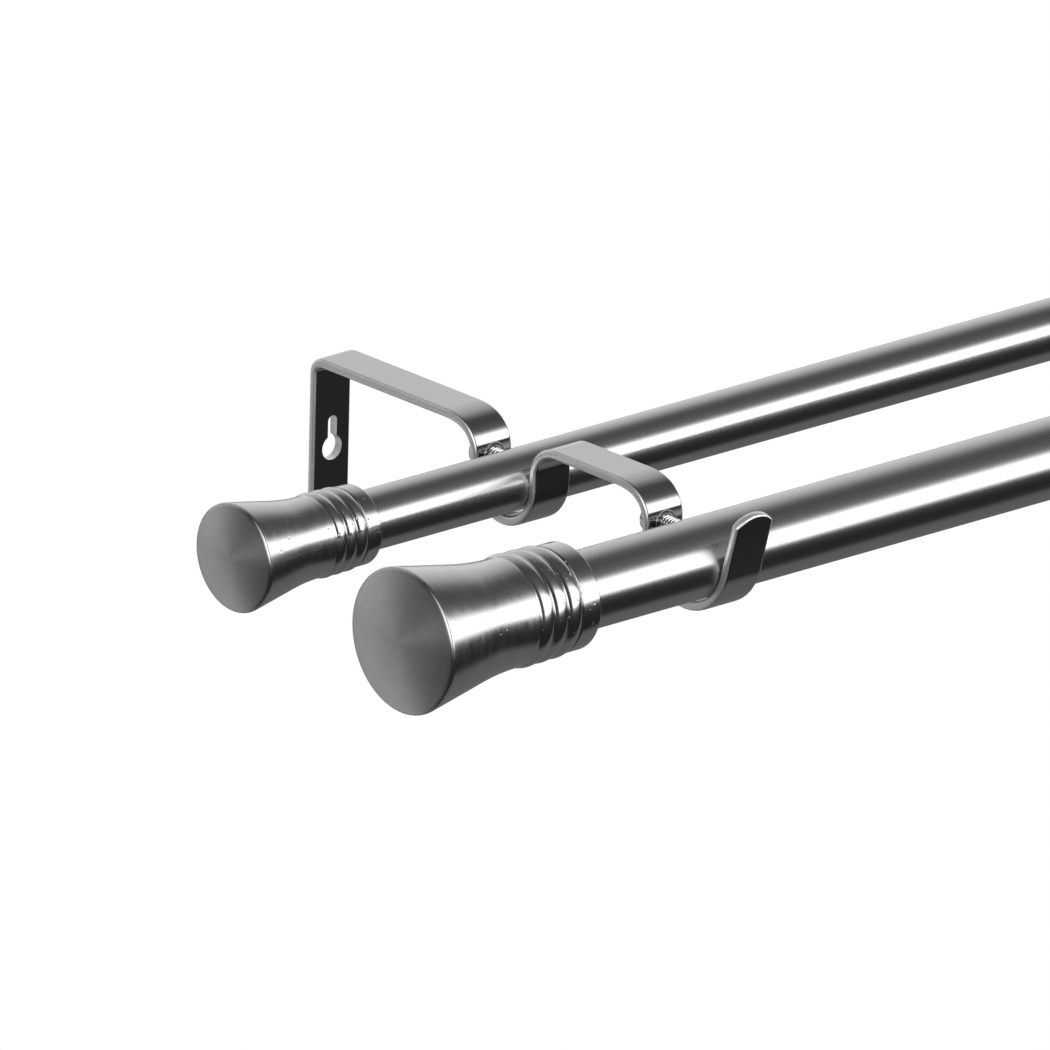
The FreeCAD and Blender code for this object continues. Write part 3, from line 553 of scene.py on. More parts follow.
def pole_outline(radius, length):
    """The closed outline of a tube's wall, in metres."""
    rim = radius - POLE_EDGE
    outline = arc_points((POLE_EDGE, rim), POLE_EDGE, 180, 90, POLE_EDGE_STEPS)
    outline += arc_points((length - POLE_EDGE, rim), POLE_EDGE, 90, 0, POLE_EDGE_STEPS)
    return outline + [(length, radius - POLE_WALL), (0, radius - POLE_WALL)]


for row, axis in pole_axis.items():
    low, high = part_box(f"{row}_pole")
    outline = pole_outline((high[2] - low[2]) / 2, high[0] - low[0])
    tube = lathe(f"{row}_tube", outline, POLE_SEGMENTS, Vector((low[0], axis.y, axis.z)))
    pole = add_piece(tube.name, tube, pole_metal[row])
    show(pole, f"{row}_pole")
    print(pole.name, len(pole.data.polygons), "faces")

# %% [markdown]
# ### Finials
#
# A finial is one thin shell, spun or cast and then turned. From its crown: a shallow dome, a rim, a
# side that runs straight at first and then flares in to a waist, three raised rings and a collar.
#
# Spheres, cones and tori could be joined into such a form, but the seams between them would show.
# One closed outline gives the whole shell. The back finial is the same drawing at three quarters of
# the size, so both rows of sizes go through the same functions.

# %% Finial sizes, face and side
FINIALS = {
    "front": {"rim": 23.4, "dome": 2.5, "waist_at": 41.5, "waist": 17.2, "flare": 95,
              "pitch": 5.8, "bulge": 0.75, "step": 0.12, "collar": 7.6, "collar_radius": 17,
              "edge": 0.8, "wall": 1.2},
    "back": {"rim": 17.5, "dome": 1.9, "waist_at": 31.1, "waist": 12.9, "flare": 71,
             "pitch": 4.35, "bulge": 0.56, "step": 0.09, "collar": 5.7, "collar_radius": 12.75,
             "edge": 0.6, "wall": 1}}
RIM_ON_FACE = 1.3
RIM_ON_SIDE = 1.2
RIM_STEPS = 8
FACE_STEPS = 28


def dome_radius(size):
    """The radius of the ball that the face is cut from."""
    return (size["rim"] ** 2 + size["dome"] ** 2) / (2 * size["dome"])


def flare_of(size):
    """The flare's centre, the straight run's direction, and the angle where the two meet."""
    centre = (size["dome"] + size["waist_at"], size["waist"] + size["flare"])
    rim = (size["dome"], size["rim"])
    span = math.dist(rim, centre)
    toward = math.atan2(centre[1] - rim[1], centre[0] - rim[0])
    direction = toward - math.asin(size["flare"] / span)
    run = math.sqrt(span ** 2 - size["flare"] ** 2)
    blend = (rim[0] + run * math.cos(direction), rim[1] + run * math.sin(direction))
    blend_angle = math.degrees(math.atan2(blend[1] - centre[1], blend[0] - centre[0]))
    return centre, direction, blend_angle


def face_outline(size):
    """The domed face and its rounded rim, from the crown outwards."""
    radius = dome_radius(size)
    rim = (size["dome"], size["rim"])
    rim_angle = math.degrees(math.asin(size["rim"] / radius))
    cut = math.degrees(RIM_ON_FACE / radius)
    face = arc_points((radius, 0), radius, 180, 180 - rim_angle + cut, FACE_STEPS)
    before = face[-1]
    direction = flare_of(size)[1]
    after = (rim[0] + RIM_ON_SIDE * math.cos(direction),
             rim[1] + RIM_ON_SIDE * math.sin(direction))
    for index in range(1, RIM_STEPS):
        share = index / RIM_STEPS
        face.append(tuple((1 - share) ** 2 * before[axis] + 2 * share * (1 - share) * rim[axis]
                          + share ** 2 * after[axis] for axis in range(2)))
    return face + [after]


for row, size in FINIALS.items():
    print(row, "side meets the flare at", round(flare_of(size)[2], 2), "degrees, and its face has",
          len(face_outline(size)), "points")

# %% [markdown]
# The rings are where the thin bright lines come from. Each is a shallow arc, and a small rounded
# valley joins it to the next. A sharp valley would be quicker, but it would show as a black line
# with no light in it. The collar ends in a rounded edge, and the inside follows the outside.

# %% Rings and collar
RING_COUNT = 3
RING_STEPS = 18
VALLEY_STEPS = 8
SHOULDER_ANGLE = 165
SHOULDER_ARC_STEPS = 6
COLLAR_EDGE_STEPS = 8
# the part of a ring's arc that is left between its valleys
RING_SHARE = 0.85
# shares of the distance between rings: a valley's depth, the collar's shoulder, the waist's lip
VALLEY_DEPTH = 0.04
SHOULDER = 0.09
WAIST_LIP = ((-0.10, 0), (-0.06, -0.012))


def ring_outline(size, waist_x):
    """The raised rings from the waist on, the last ring's end, and half a valley's width."""
    pitch = size["pitch"]
    deep = VALLEY_DEPTH * pitch
    bulge = size["bulge"] + deep
    ring_radius = (pitch ** 2 / 4 + bulge ** 2) / (2 * bulge)
    half = math.degrees(math.asin(pitch / 2 / ring_radius)) * RING_SHARE
    reach = pitch / 2 - ring_radius * math.sin(math.radians(half))
    valley_radius = reach / math.sin(math.radians(half))
    last = (waist_x, size["waist"])
    rings = [(waist_x + x * pitch, size["waist"] + y * pitch) for x, y in WAIST_LIP]
    for number in range(1, RING_COUNT + 1):
        point = (waist_x + number * pitch, size["waist"] - number * size["step"])
        centre_r = (last[1] + point[1]) / 2 - deep + bulge - ring_radius
        rings += arc_points(((last[0] + point[0]) / 2, centre_r), ring_radius,
                            90 + half, 90 - half, RING_STEPS)
        last = point
        height = rings[-1][1] + valley_radius * math.cos(math.radians(half))
        valley = arc_points((point[0], height), valley_radius, 270 - half, 270 + half,
                            VALLEY_STEPS)[1:-1]
        if number == RING_COUNT:
            # the collar stands in the second half of the last valley
            valley = valley[:VALLEY_STEPS // 2]
        rings += [(x, radius - size["step"] * (x - point[0] + reach) / (2 * reach))
                  for x, radius in valley]
    return rings, last, reach


def collar_outline(size, start, end):
    """The collar from the last valley to its rounded end."""
    radius = size["collar_radius"]
    shoulder = SHOULDER * size["pitch"]
    edge = size["edge"]
    collar = arc_points((start + shoulder, radius - shoulder), shoulder, SHOULDER_ANGLE, 90,
                        SHOULDER_ARC_STEPS)
    return collar + arc_points((end - edge, radius - edge), edge, 90, 0, COLLAR_EDGE_STEPS)


for row, size in FINIALS.items():
    print(row, "has", RING_COUNT, "rings with", len(ring_outline(size, 0)[0]), "points")

# %% Finial outline
FLARE_STEPS = 24
INNER_STEPS = 10
COLLAR_START = 0.3
SOCKET_CHAMFER = 0.15
INNER_DOME = 1.5


def finial_outline(size):
    """The closed outline of a finial shell in metres, from the crown of its face."""
    flare_centre, _, blend_angle = flare_of(size)
    waist_x = flare_centre[0]
    side = arc_points(flare_centre, size["flare"], blend_angle, -90, FLARE_STEPS)[:-1]
    rings, last, reach = ring_outline(size, waist_x)
    end = waist_x + RING_COUNT * size["pitch"] + size["collar"]
    collar = collar_outline(size, last[0] + COLLAR_START * reach, end)
    # the inside, back from the collar's end to the crown
    wall = size["wall"]
    socket = last[1] - wall
    inside = [(end, socket + SOCKET_CHAMFER), (end - SOCKET_CHAMFER, socket), (waist_x, socket),
              (waist_x, size["waist"] - wall)]
    inside += arc_points(flare_centre, size["flare"] + wall, -90, blend_angle, INNER_STEPS)[1:]
    radius = dome_radius(size)
    depth = math.degrees(math.asin((size["rim"] - INNER_DOME * wall) / radius))
    inside += arc_points((radius, 0), radius - wall, 180 - depth, 180, INNER_STEPS)
    outline = face_outline(size) + side + rings + collar + inside
    return [(x * MM, radius * MM) for x, radius in outline]


print("a finial's outline has", len(finial_outline(FINIALS["front"])), "points")

# %% Finials
FINIAL_SEGMENTS = 256
FACE_SLOT = 1
RINGS_SLOT = 2


def make_finial(row, side_name):
    size = FINIALS[row]
    node = f"{row}_finial_{side_name}"
    low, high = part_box(node)
    left = side_name == "left"
    crown = Vector((low[0] if left else high[0], pole_axis[row].y, pole_axis[row].z))
    mesh = lathe(f"{row}_trumpet_{side_name}", finial_outline(size), FINIAL_SEGMENTS, crown,
                 1 if left else -1)
    piece = add_piece(mesh.name, mesh, side_metal[row], face_metal[row], ring_metal[row])
    for polygon in mesh.polygons:
        along = abs(polygon.center.x - crown.x) / MM
        if along < size["dome"]:
            polygon.material_index = FACE_SLOT
        elif along > size["dome"] + size["waist_at"]:
            polygon.material_index = RINGS_SLOT
    show(piece, node)
    return piece


for row in FINIALS:
    for side_name in ("left", "right"):
        finial = make_finial(row, side_name)
        print(finial.name, len(finial.data.polygons), "faces")

# %% [markdown]
# ### Bushes
#
# A bush is a plain moulded sleeve with a stop ring. Its solid already has every edge that can be
# seen inside the collar, so it keeps its mesh and only gets the plastic.

# %% Bushes
for node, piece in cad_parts.items():
    if "bush" in node:
        piece.data.materials[0] = bush_plastic
        print(node, "in", bush_plastic.name)

# %% [markdown]
# ### Brackets
#
# A bracket is one flat strip, cut to length and bent cold over round formers: a wall plate, an arm,
# a cradle, a second arm, a second cradle and a lip. A curve with a bevel object could follow such a
# route, but it can only end flat, and its sides can't have a metal of their own.
#
# So the route is worked out as (distance from the wall, height, angle of travel) stops on the
# strip's middle line, and the section is carried along it. Where an arm turns down, the strip
# starts to bend early and wide, and ends as tight as the former.

# %% Where an arm turns down
STRIP = 3
ARM_TOP = 31
ARM_BEND = 8
SPRING = 22
SPRING_ANGLE = 35
SHOULDER_STEPS = 36


def arm_end():
    """An arm's middle line where it turns down: wide at first, then as tight as the former."""
    points = [(0, 0, 0)]
    turn = 90 / SHOULDER_STEPS
    for step in range(SHOULDER_STEPS):
        tilt = turn * (step + 0.5)
        radius = ARM_BEND + STRIP / 2 + SPRING * max(0, 1 - tilt / SPRING_ANGLE) ** 2
        run = radius * math.radians(turn)
        x, y, _ = points[-1]
        points.append((x + run * math.cos(math.radians(tilt)),
                       y - run * math.sin(math.radians(tilt)), -turn * (step + 1)))
    return points


arm_end_points = arm_end()
LEG_TOP = ARM_TOP - STRIP / 2 + arm_end_points[-1][1]
print("the legs are straight below", round(LEG_TOP, 2))

# %% Bracket route
PLATE_END = -25
WALL_BEND = 2.5
FRONT_REACH = 173
BACK_REACH = 89.5
BACK_CRADLE = 12
FRONT_CRADLE = 16.75
BACK_CRADLE_Z = 15.6
FRONT_CRADLE_Z = 16.45
LIP_LENGTH = 21.8
LIP_LEAN = 15
BEND_STEPS = 20


def strip_route():
    """Stops on the middle line as (reach, height, angle of travel in degrees)."""
    half = STRIP / 2
    level = ARM_TOP - half
    wall_bend = WALL_BEND + half
    arm_bend = ARM_BEND + half
    rise_leg = BACK_REACH + BACK_CRADLE + half
    stops = [(half, PLATE_END, 90)]

    def bend(centre, radius, start, end, travel):
        for index in range(BEND_STEPS + 1):
            angle = start + (end - start) * index / BEND_STEPS
            x = centre[0] + radius * math.cos(math.radians(angle))
            y = centre[1] + radius * math.sin(math.radians(angle))
            stops.append((x, y, angle + travel))

    def turn_down(leg):
        start = leg - arm_end_points[-1][0]
        stops.extend((start + x, level + y, travel) for x, y, travel in arm_end_points)

    bend((half + wall_bend, level - wall_bend), wall_bend, 180, 90, -90)
    turn_down(BACK_REACH - BACK_CRADLE - half)
    bend((BACK_REACH, BACK_CRADLE_Z), BACK_CRADLE + half, 180, 360, 90)
    bend((rise_leg + arm_bend, level - arm_bend), arm_bend, 180, 90, -90)
    turn_down(FRONT_REACH - FRONT_CRADLE - half)
    bend((FRONT_REACH, FRONT_CRADLE_Z), FRONT_CRADLE + half, 180, 360 - LIP_LEAN, 90)
    x, y, _ = stops[-1]
    lip = math.radians(90 - LIP_LEAN)
    stops.append((x + LIP_LENGTH * math.cos(lip), y + LIP_LENGTH * math.sin(lip), 90 - LIP_LEAN))
    return stops


route = strip_route()
print(len(route), "stops on the route")

# %% [markdown]
# The section has rounded corners, as cut strip has after tumbling. The lip's tip is round, because
# a square one would scratch and catch, and its corners are rounded like those of the sides. A
# cutter would leave them sharp, so the tip is built: every line along the strip's rounded side
# gets an arc of its own across the lip.

# %% Strip section and tip
STRIP_WIDTH = 15
STRIP_EDGE = 1.1
CORNER_STEPS = 8
TIP_RISE = 3.5
TIP_STEPS = 24


def strip_section():
    """The strip's rounded section as (across, through) points, from its right side's middle."""
    inner = STRIP_WIDTH / 2 - STRIP_EDGE
    half = STRIP / 2 - STRIP_EDGE
    section = []
    for x, y, start in ((inner, half, 0), (-inner, half, 90), (-inner, -half, 180),
                        (inner, -half, 270)):
        section += arc_points((x, y), STRIP_EDGE, start, start + 90, CORNER_STEPS)
    return section


def tip_rows(left_side):
    """The arcs of the tip as (across, through, back from the lip's end), one per edge line."""
    tip_radius = (STRIP_WIDTH ** 2 / 4 + TIP_RISE ** 2) / (2 * TIP_RISE)
    rows = []
    for x, y in left_side:
        radius = tip_radius - (STRIP_WIDTH / 2 + x)
        limit = math.asin(-x / radius)
        turns = [limit * (2 * step / TIP_STEPS - 1) for step in range(TIP_STEPS + 1)]
        rows.append([(radius * math.sin(turn), y, tip_radius - radius * math.cos(turn))
                     for turn in turns])
    return rows


section = strip_section()
quarter = len(section) // 4
tip = tip_rows(section[quarter:3 * quarter])
print(len(section), "points round the strip and", len(tip), "arcs round the tip")

# %% [markdown]
# The sweep also sorts the faces: those that look sideways, and the middle of the tip, are sheared
# metal, whose paler colour is partly painted light, and all others are the strip's own plating.

# %% Sweeping the strip
SIDE_NORMAL = 0.5
TIP_POLISH = 3


def swept_strip(name, centre_x):
    """The strip's section carried along the route up to the lip's rounded tip."""
    count = len(section)
    builder = bmesh.new()

    def corner(stop, x, y, back=0):
        reach, height, travel = stop
        angle = math.radians(travel)
        return builder.verts.new((
            centre_x + x * MM,
            -(reach - back * math.cos(angle) - y * math.sin(angle)) * MM,
            (height - back * math.sin(angle) + y * math.cos(angle)) * MM))

    rings = [[corner(stop, x, y) for x, y in section] for stop in route[:-1]]
    rows = [[corner(route[-1], *point) for point in row] for row in tip]
    last = [None] * count
    for level, row in enumerate(rows):
        last[quarter + level] = row[0]
        last[quarter - 1 - level] = row[-1]
    rings.append(last)
    for ring, following in zip(rings, rings[1:]):
        for index in range(count):
            after = (index + 1) % count
            corners = [ring[index], ring[after], following[after], following[index]]
            if following is last and after == quarter:
                corners[2:] = rows[0]
            if following is last and after == 3 * quarter:
                corners[2:] = rows[-1][::-1]
            face = builder.faces.new(corners)
            face.normal_update()
            face.material_index = int(abs(face.normal.x) > SIDE_NORMAL)
    for level, (row, following) in enumerate(zip(rows, rows[1:])):
        for step in range(TIP_STEPS):
            face = builder.faces.new((row[step], row[step + 1], following[step + 1],
                                      following[step]))
            face.material_index = int(TIP_POLISH <= level < len(rows) - 1 - TIP_POLISH)
    builder.faces.new(rings[0])
    return add_piece(name, finish_mesh(name, builder), bracket_metal, edge_metal_painted_paler)


bracket_x = {side_name: middle(f"bracket_{side_name}").x for side_name in ("left", "right")}
print("brackets at", {side_name: round(x, 4) for side_name, x in bracket_x.items()})

# %% [markdown]
# ### Holes in the strip
#
# The wall plate has a keyhole, and each leg has a tapped hole for its pole's screw. They are
# punched and drilled, so Boolean cutters of the same outlines are the nearest way. Building the
# holes into the sweep would take many more lines.
#
# A bevel then takes the razor edge off the cuts. It comes out a few thousandths of a millimetre
# wide, because Blender stops a bevel before it runs over the shortest edge beside a cut.

# %% Cutters
KEYHOLE_RADIUS = 4
SLOT_RADIUS = 1.8
SLOT_RISE = 8.7
KEYHOLE_STEPS = 40
SLOT_STEPS = 16


def join_rings(builder, rings):
    """Joins each ring of corners to the next by a band of faces."""
    for ring, following in zip(rings, rings[1:]):
        for index in range(len(ring)):
            after = (index + 1) % len(ring)
            builder.faces.new((ring[index], ring[after], following[after], following[index]))


def prism(name, outline, centre_x, near, far):
    """A closed block with an outline of (x, z) points, from near to far along Y."""
    builder = bmesh.new()
    ends = [[builder.verts.new((centre_x + x * MM, y * MM, z * MM)) for x, z in outline]
            for y in (near, far)]
    join_rings(builder, ends)
    for end in ends:
        builder.faces.new(end)
    return add_piece(name, finish_mesh(name, builder))


def keyhole_outline():
    neck = math.degrees(math.atan2(math.sqrt(KEYHOLE_RADIUS ** 2 - SLOT_RADIUS ** 2),
                                   SLOT_RADIUS))
    outline = arc_points((0, 0), KEYHOLE_RADIUS, 180 - neck, 360 + neck, KEYHOLE_STEPS)
    return outline + arc_points((0, SLOT_RISE), SLOT_RADIUS, 0, 180, SLOT_STEPS)


def cut(piece, cutter):
    """Takes a closed block out of a piece."""
    boolean = piece.modifiers.new(cutter.name, "BOOLEAN")
    boolean.object = cutter
    boolean.operation = "DIFFERENCE"
    boolean.solver = "EXACT"


def apply_modifiers(piece):
    """Makes the result of a piece's modifiers its own mesh, and clears its cutters away."""
    cutters = [modifier.object for modifier in piece.modifiers if modifier.type == "BOOLEAN"]
    depsgraph = bpy.context.evaluated_depsgraph_get()
    finished = bpy.data.meshes.new_from_object(piece.evaluated_get(depsgraph))
    piece.modifiers.clear()
    piece.data = finished
    for cutter in cutters:
        bpy.data.objects.remove(cutter)


print("the keyhole's outline has", len(keyhole_outline()), "points")

# %% [markdown]
# Tapping a thread into thin strip pushes up a small rolled rim round the hole. It catches a ring of
# light, so it is built: a thin torus, half sunk in the leg, that follows the leg where it bends.

# %% Rims round the screw holes
SCREW_HEIGHT = 18.5
RIM_RADIUS = 3.9
RIM_SIZE = 0.25
RIM_AROUND = 64
RIM_ACROSS = 12


def hole_rim(centre_x, leg_front):
    """The mesh of the rolled rim round a screw hole."""
    builder = bmesh.new()
    outer = ARM_BEND + STRIP
    rings = []
    for index in range(RIM_AROUND):
        angle = math.tau * index / RIM_AROUND
        above = max(0, SCREW_HEIGHT + RIM_RADIUS * math.sin(angle) - LEG_TOP)
        face = leg_front - outer + math.sqrt(outer ** 2 - above ** 2)
        rings.append([])
        for step in range(RIM_ACROSS):
            turn = math.tau * step / RIM_ACROSS
            radius = RIM_RADIUS + RIM_SIZE * math.cos(turn)
            rings[-1].append(builder.verts.new((
                centre_x + radius * MM * math.cos(angle),
                -(face + RIM_SIZE * math.sin(turn)) * MM,
                (SCREW_HEIGHT + radius * math.sin(angle)) * MM)))
    join_rings(builder, rings + rings[:1])
    return finish_mesh("hole_rim", builder)


leg_fronts = {"back": BACK_REACH - BACK_CRADLE, "front": FRONT_REACH - FRONT_CRADLE}
print("the legs' fronts are at", leg_fronts)

# %% Brackets
HOLE_RADIUS = 2.55
HOLE_STEPS = 48
PLATE_CUT = (-5, 1)
LEG_CUTS = {"back": (-79, -73.5), "front": (-158, -152)}
CUT_BEVEL = 0.22 * MM
CUT_BEVEL_STEPS = 3
CUT_EDGE = 50
STRIP_CORNER = 35


def cut_holes(piece, centre_x):
    """Cuts the keyhole and the screw holes, whose walls show the sheared metal."""
    full_turn = 360 - 360 / HOLE_STEPS
    hole = arc_points((0, SCREW_HEIGHT), HOLE_RADIUS, 0, full_turn, HOLE_STEPS - 1)
    cutters = [prism("keyhole_cutter", keyhole_outline(), centre_x, *PLATE_CUT)]
    cutters += [prism(f"{row}_screw_cutter", hole, centre_x, *depths)
                for row, depths in LEG_CUTS.items()]
    for cutter in cutters:
        for metal in (bracket_metal, edge_metal_painted_paler):
            cutter.data.materials.append(metal)
        for polygon in cutter.data.polygons:
            polygon.material_index = 1
        cut(piece, cutter)
    bevel = piece.modifiers.new("soft_edges", "BEVEL")
    bevel.width = CUT_BEVEL
    bevel.segments = CUT_BEVEL_STEPS
    bevel.limit_method = "ANGLE"
    bevel.angle_limit = math.radians(CUT_EDGE)
    apply_modifiers(piece)


def add_rims(piece, centre_x):
    """Joins the rolled rims to the strip's mesh."""
    builder = bmesh.new()
    builder.from_mesh(piece.data)
    for leg_front in leg_fronts.values():
        rim = hole_rim(centre_x, leg_front)
        builder.from_mesh(rim)
        bpy.data.meshes.remove(rim)
    builder.to_mesh(piece.data)
    builder.free()


for side_name, centre_x in bracket_x.items():
    strip = swept_strip(f"strip_{side_name}", centre_x)
    cut_holes(strip, centre_x)
    add_rims(strip, centre_x)
    smooth(strip.data, STRIP_CORNER)
    weighted = strip.modifiers.new("flat_faces", "WEIGHTED_NORMAL")
    weighted.keep_sharp = True
    show(strip, f"bracket_{side_name}")
    print(strip.name, len(strip.data.polygons), "faces")

# %% [markdown]
# ### Screws
#
# A pan head with a cross recess, and a shank with a real helical thread. A few turns of thread show
# between each leg and its pole, and bump in a material couldn't give their outline.
#
# The thread is one sheet whose radius depends on how far round and how far along the shank a point
# lies. Sweeping a triangle along a helix is the usual way, but its ends have to be closed by hand.

# %% Thread
THREAD_PITCH = 1.2
THREAD_CREST = 2.5
THREAD_ROOT = 1.85
THREAD_FLANK = 3.2
CREST_FLAT = 0.25
POINT_LENGTH = 0.9
POINT_RADIUS = 1.9
STEPS_PER_PITCH = 16


def thread_radius(turns, along, length):
    """The shank's radius in millimetres at a place along it and a share of a turn round it."""
    phase = (along / THREAD_PITCH - turns) % 1
    flank = min(1, max(0, abs(phase - 0.5) * THREAD_FLANK - CREST_FLAT))
    radius = THREAD_CREST + (THREAD_ROOT - THREAD_CREST) * flank
    point = max(0, (along - (length - POINT_LENGTH)) / POINT_LENGTH)
    return radius - point * (radius - POINT_RADIUS)


print("thread radii:", [round(thread_radius(turns / 4, 0, 10), 2) for turns in range(4)])

# %% Screw body and recess
HEAD_RADIUS = 4.75
HEAD_HEIGHT = 3.7
# distance from the head's end, and the radius there
HEAD_OUTLINE = [(0, 0.02), (0, 1.2), (0.02, 2.4), (0.12, 3.1), (0.45, 3.9), (0.95, 4.45),
                (1.6, 4.7), (2.2, HEAD_RADIUS), (3.5, HEAD_RADIUS), (3.65, 4.68),
                (HEAD_HEIGHT, 4.55)]
SCREW_SEGMENTS = 48
RECESS_HALF = 0.6
RECESS_REACH = 2.6
RECESS_DEPTH = 1.6
RECESS_CLEAR = 1


def screw_mesh(name, head_end, length):
    """The pan head and the threaded shank, from the head's end towards -Y."""
    builder = bmesh.new()

    def ring(along, radii):
        return [builder.verts.new((
            head_end.x + radius * MM * math.cos(math.tau * index / SCREW_SEGMENTS),
            head_end.y - along * MM,
            head_end.z + radius * MM * math.sin(math.tau * index / SCREW_SEGMENTS)))
            for index, radius in enumerate(radii)]

    rings = [ring(along, [radius] * SCREW_SEGMENTS) for along, radius in HEAD_OUTLINE]
    steps = int(length / (THREAD_PITCH / STEPS_PER_PITCH))
    for step in range(steps + 1):
        along = length * step / steps
        rings.append(ring(HEAD_HEIGHT + along,
                          [thread_radius(index / SCREW_SEGMENTS, along, length)
                           for index in range(SCREW_SEGMENTS)]))
    join_rings(builder, rings)
    builder.faces.new(rings[0])
    builder.faces.new(rings[-1])
    return finish_mesh(name, builder)


def cross_outline(height):
    """A cross of (x, z) points round a height."""
    near, far = RECESS_HALF, RECESS_REACH
    cross = [(near, near), (near, far), (-near, far), (-near, near), (-far, near), (-far, -near),
             (-near, -near), (-near, -far), (near, -far), (near, -near), (far, -near), (far, near)]
    return [(x, z + height) for x, z in cross]


print("the head's outline has", len(HEAD_OUTLINE), "points")

# %% Screws


def make_screw(row, side_name, centre_x):
    node = f"{row}_pole_screw_{side_name}"
    low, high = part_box(node)
    head_end = Vector((centre_x, high[1], (low[2] + high[2]) / 2))
    length = (high[1] - low[1]) / MM - HEAD_HEIGHT
    name = f"{row}_screw_{side_name}"
    piece = add_piece(name, screw_mesh(name, head_end, length), screw_metal)
    top = head_end.y / MM
    cut(piece, prism("recess_cutter", cross_outline(head_end.z / MM), centre_x,
                     top + RECESS_CLEAR, top - RECESS_DEPTH))
    apply_modifiers(piece)
    smooth(piece.data, TURNED_EDGE)
    show(piece, node)
    return piece


for row in ("front", "back"):
    for side_name, centre_x in bracket_x.items():
        screw = make_screw(row, side_name, centre_x)
        print(screw.name, len(screw.data.polygons), "faces")

# %% [markdown]
# ## The studio
#
# Polished metal shows its surroundings more than its own colour, so the surroundings are the light.
# Going round the poles' axis, a mirror-like pole sees: a pale wall behind, a dark ceiling, a broad
# soft box in front that ends sharply at the horizon, and a dark table below. The finials' faces
# look to the left, where the pale wall darkens towards the front and a second soft box stands.
#
# Lamps and panels could be set up for this. The world shader holds the whole room instead, as
# brightness against the angle round the X axis, because each band of light on the poles is then
# a few stops in a list. Between these bands and the left wall lies a darker strip, in which no
# band is brighter than `LEFT_LIMIT`.
#
# Only the camera sees plain white, where the photograph is cut out. The metal sees the room and not
# that white, because white all round would take away every band of light and dark that it shows.
# The room is darker than plain white would be: a matt white surface that faces up gets about half
# as much light from it.

# %% Brightness of the room
# degrees round the X axis from the wall (+Y) over the top, and the brightness there
ROOM_ABOVE = [
    (0, 0.98), (20, 0.92), (40, 0.76), (56, 0.55), (68, 0.29), (80, 0.127), (92, 0.1),
    (104, 0.108), (113, 0.13), (122, 0.16), (130, 0.26), (137, 0.8), (144, 2.2), (180, 2.2)]
ROOM_BELOW = [
    (176.4, 2.2), (178, 2.2), (181.3, 0.75), (188, 0.092), (197, 0.05), (207, 0.03),
    (217, 0.027), (228, 0.024), (236.5, 0.027), (241, 0.1), (250, 0.17), (268, 0.17),
    (300, 0.175), (333, 0.19), (352, 0.2), (358, 0.5), (360, 0.98)]
LEFT_BOX = [(85, 0), (115, 1.2), (140, 2.5), (178, 2.5), (186, 0)]
# degrees from the wall (+Y) over the left end (-X), and the brightness there
LEFT_WALL = [
    (0, 0.98), (16, 0.96), (22, 0.76), (34, 0.60), (38, 0.37), (43, 0.27), (49, 0.17),
    (56, 0.10), (66, 0.055), (80, 0.035), (110, 0.035), (180, 0.03)]
BRIGHTEST = 2.5
LEFT_LIMIT = 0.10
print("the room has", len(ROOM_ABOVE) + len(ROOM_BELOW), "stops round the poles' axis")

# %% White for the camera alone
WHITE = (1, 1, 1, 1)


def white_to_camera(nodes, output, shown, white_kind):
    """Gives plain white to the camera, and the real surface to every other ray."""
    white = nodes.add(white_kind, {"Color": WHITE, "Strength": 1.0})
    seen = nodes.add("ShaderNodeLightPath").outputs["Is Camera Ray"]
    mixed = nodes.add("ShaderNodeMixShader", {"Fac": seen})
    # both shader inputs have the same name, so they are found by number
    nodes.link(shown.outputs[0], mixed.inputs[1])
    nodes.link(white.outputs[0], mixed.inputs[2])
    nodes.link(mixed.outputs[0], output.inputs["Surface"])


print("helper:", white_to_camera.__name__)

# %% World
# where each part of the room starts to show and where it shows fully: the full bands by how far a
# direction points to the right, the left wall and the left box by how far it points to the left
TO_FULL_BANDS = (-0.05, 0.05)
TO_LEFT_WALL = (0.1, 0.35)
TO_LEFT_BOX = (0.4, 0.5)


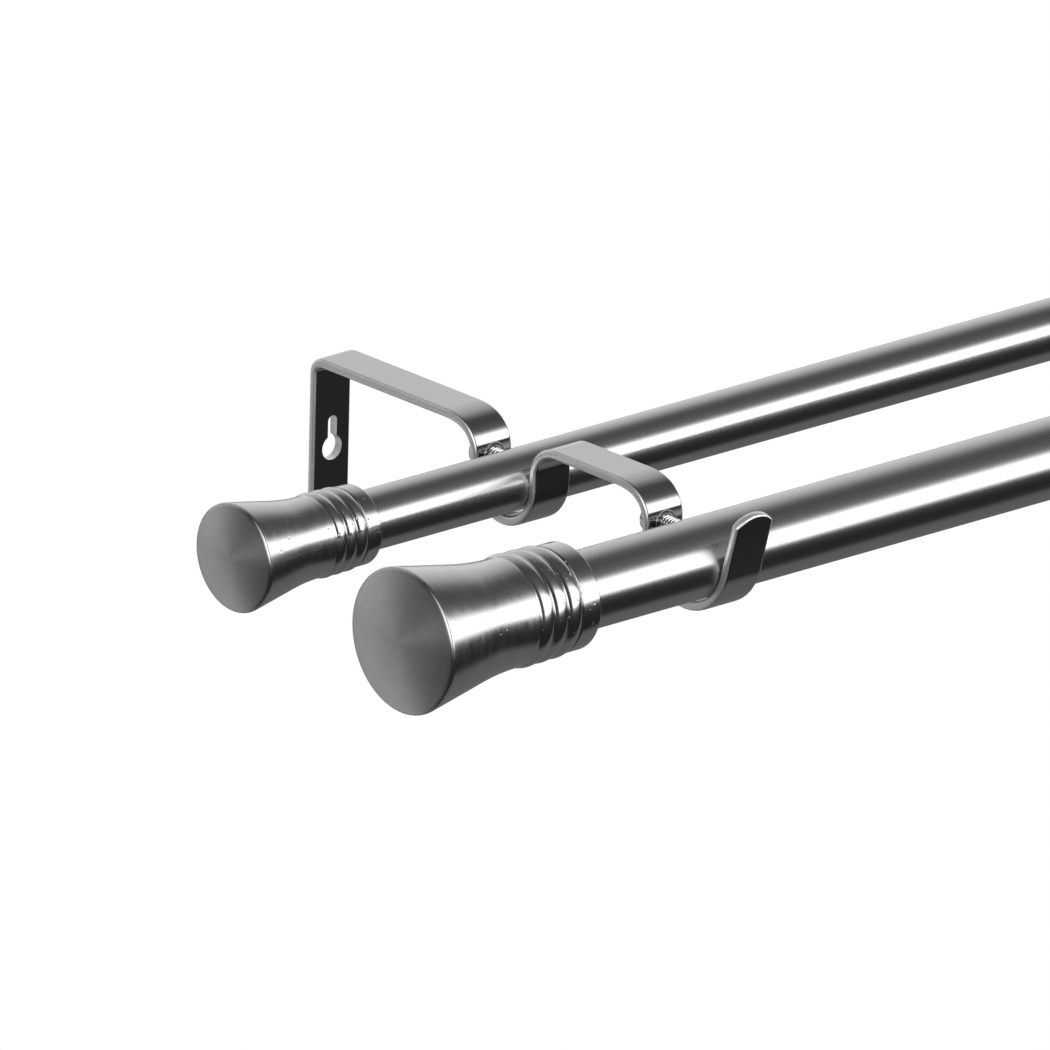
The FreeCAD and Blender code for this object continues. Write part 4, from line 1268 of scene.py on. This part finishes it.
def make_world():
    world = bpy.data.worlds.new("studio_room")
    bpy.context.scene.world = world
    world.use_nodes = True
    nodes = Nodes(world.node_tree)
    output = nodes.add("ShaderNodeOutputWorld")
    direction = nodes.add("ShaderNodeTexCoord").outputs["Generated"]
    xyz = nodes.add("ShaderNodeSeparateXYZ", {"Vector": direction})

    def between(value, limits):
        low, high = limits
        return nodes.add("ShaderNodeMapRange", {"Value": value, "From Min": low, "From Max": high},
                         interpolation_type="SMOOTHSTEP").outputs["Result"]

    def blend(factor, first, second):
        node = nodes.add("ShaderNodeMix", data_type="FLOAT")
        # the inputs for single values: the factor, A and B
        for index, source in ((0, factor), (2, first), (3, second)):
            nodes.link(source, node.inputs[index])
        return node.outputs["Result"]

    def levels(share, stops, whole):
        return nodes.ramp(share, [(degrees / whole, level / BRIGHTEST)
                                  for degrees, level in stops])

    angle = nodes.math("ARCTAN2", xyz.outputs["Z"], xyz.outputs["Y"])
    turn_share = nodes.math("FRACT", nodes.math("DIVIDE", angle, math.tau))
    below = nodes.math("GREATER_THAN", turn_share, 0.5)
    bands = blend(below, levels(turn_share, ROOM_ABOVE, 360), levels(turn_share, ROOM_BELOW, 360))
    dim_bands = nodes.math("MINIMUM", bands, LEFT_LIMIT / BRIGHTEST)
    room = blend(between(xyz.outputs["X"], TO_FULL_BANDS), dim_bands, bands)
    left = nodes.math("MULTIPLY", xyz.outputs["X"], -1)
    side_share = nodes.math("DIVIDE", nodes.math("ARCTAN2", left, xyz.outputs["Y"]), math.pi)
    room = blend(between(left, TO_LEFT_WALL), room, levels(side_share, LEFT_WALL, 180))
    box = nodes.math("MULTIPLY", levels(turn_share, LEFT_BOX, 360), between(left, TO_LEFT_BOX))
    room = nodes.math("MAXIMUM", room, box)
    lit = nodes.add("ShaderNodeBackground", {
        "Color": WHITE, "Strength": nodes.math("MULTIPLY", room, BRIGHTEST)})
    white_to_camera(nodes, output, lit, "ShaderNodeBackground")


make_world()
bpy.context.scene.view_settings.view_transform = "Standard"
print("world", bpy.context.scene.world.name)

# %% [markdown]
# A pale floor lies well below the poles, as it would under a window. The camera sees it as plain
# white, like the rest of the backdrop. The metal doesn't show it, because the room has its own dark
# table there.

# %% Floor
FLOOR_HEIGHT = -0.9
FLOOR_SIZE = 60
FLOOR_COLOR = (0.85, 0.85, 0.85, 1)


def make_floor():
    mesh = bpy.data.meshes.new("floor")
    half = FLOOR_SIZE / 2
    corners = [(-half, -half), (half, -half), (half, half), (-half, half)]
    mesh.from_pydata([(x, y, FLOOR_HEIGHT) for x, y in corners], [], [(0, 1, 2, 3)])
    material, nodes, output = new_material("pale_floor")
    surface = nodes.add("ShaderNodeBsdfDiffuse", {"Color": FLOOR_COLOR})
    white_to_camera(nodes, output, surface, "ShaderNodeEmission")
    floor = add_piece("floor", mesh, material)
    floor.visible_glossy = False
    floor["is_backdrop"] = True
    return floor


floor = make_floor()
print(floor.name, "at", FLOOR_HEIGHT)

# %% [markdown]
# ## The visual box
#
# The box round the visible pieces is printed. The visible pieces have to stay inside the
# solids' box.

# %% Visual box
low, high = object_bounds()
print("visual box", [round(value, 4) for value in (*low, *high)])
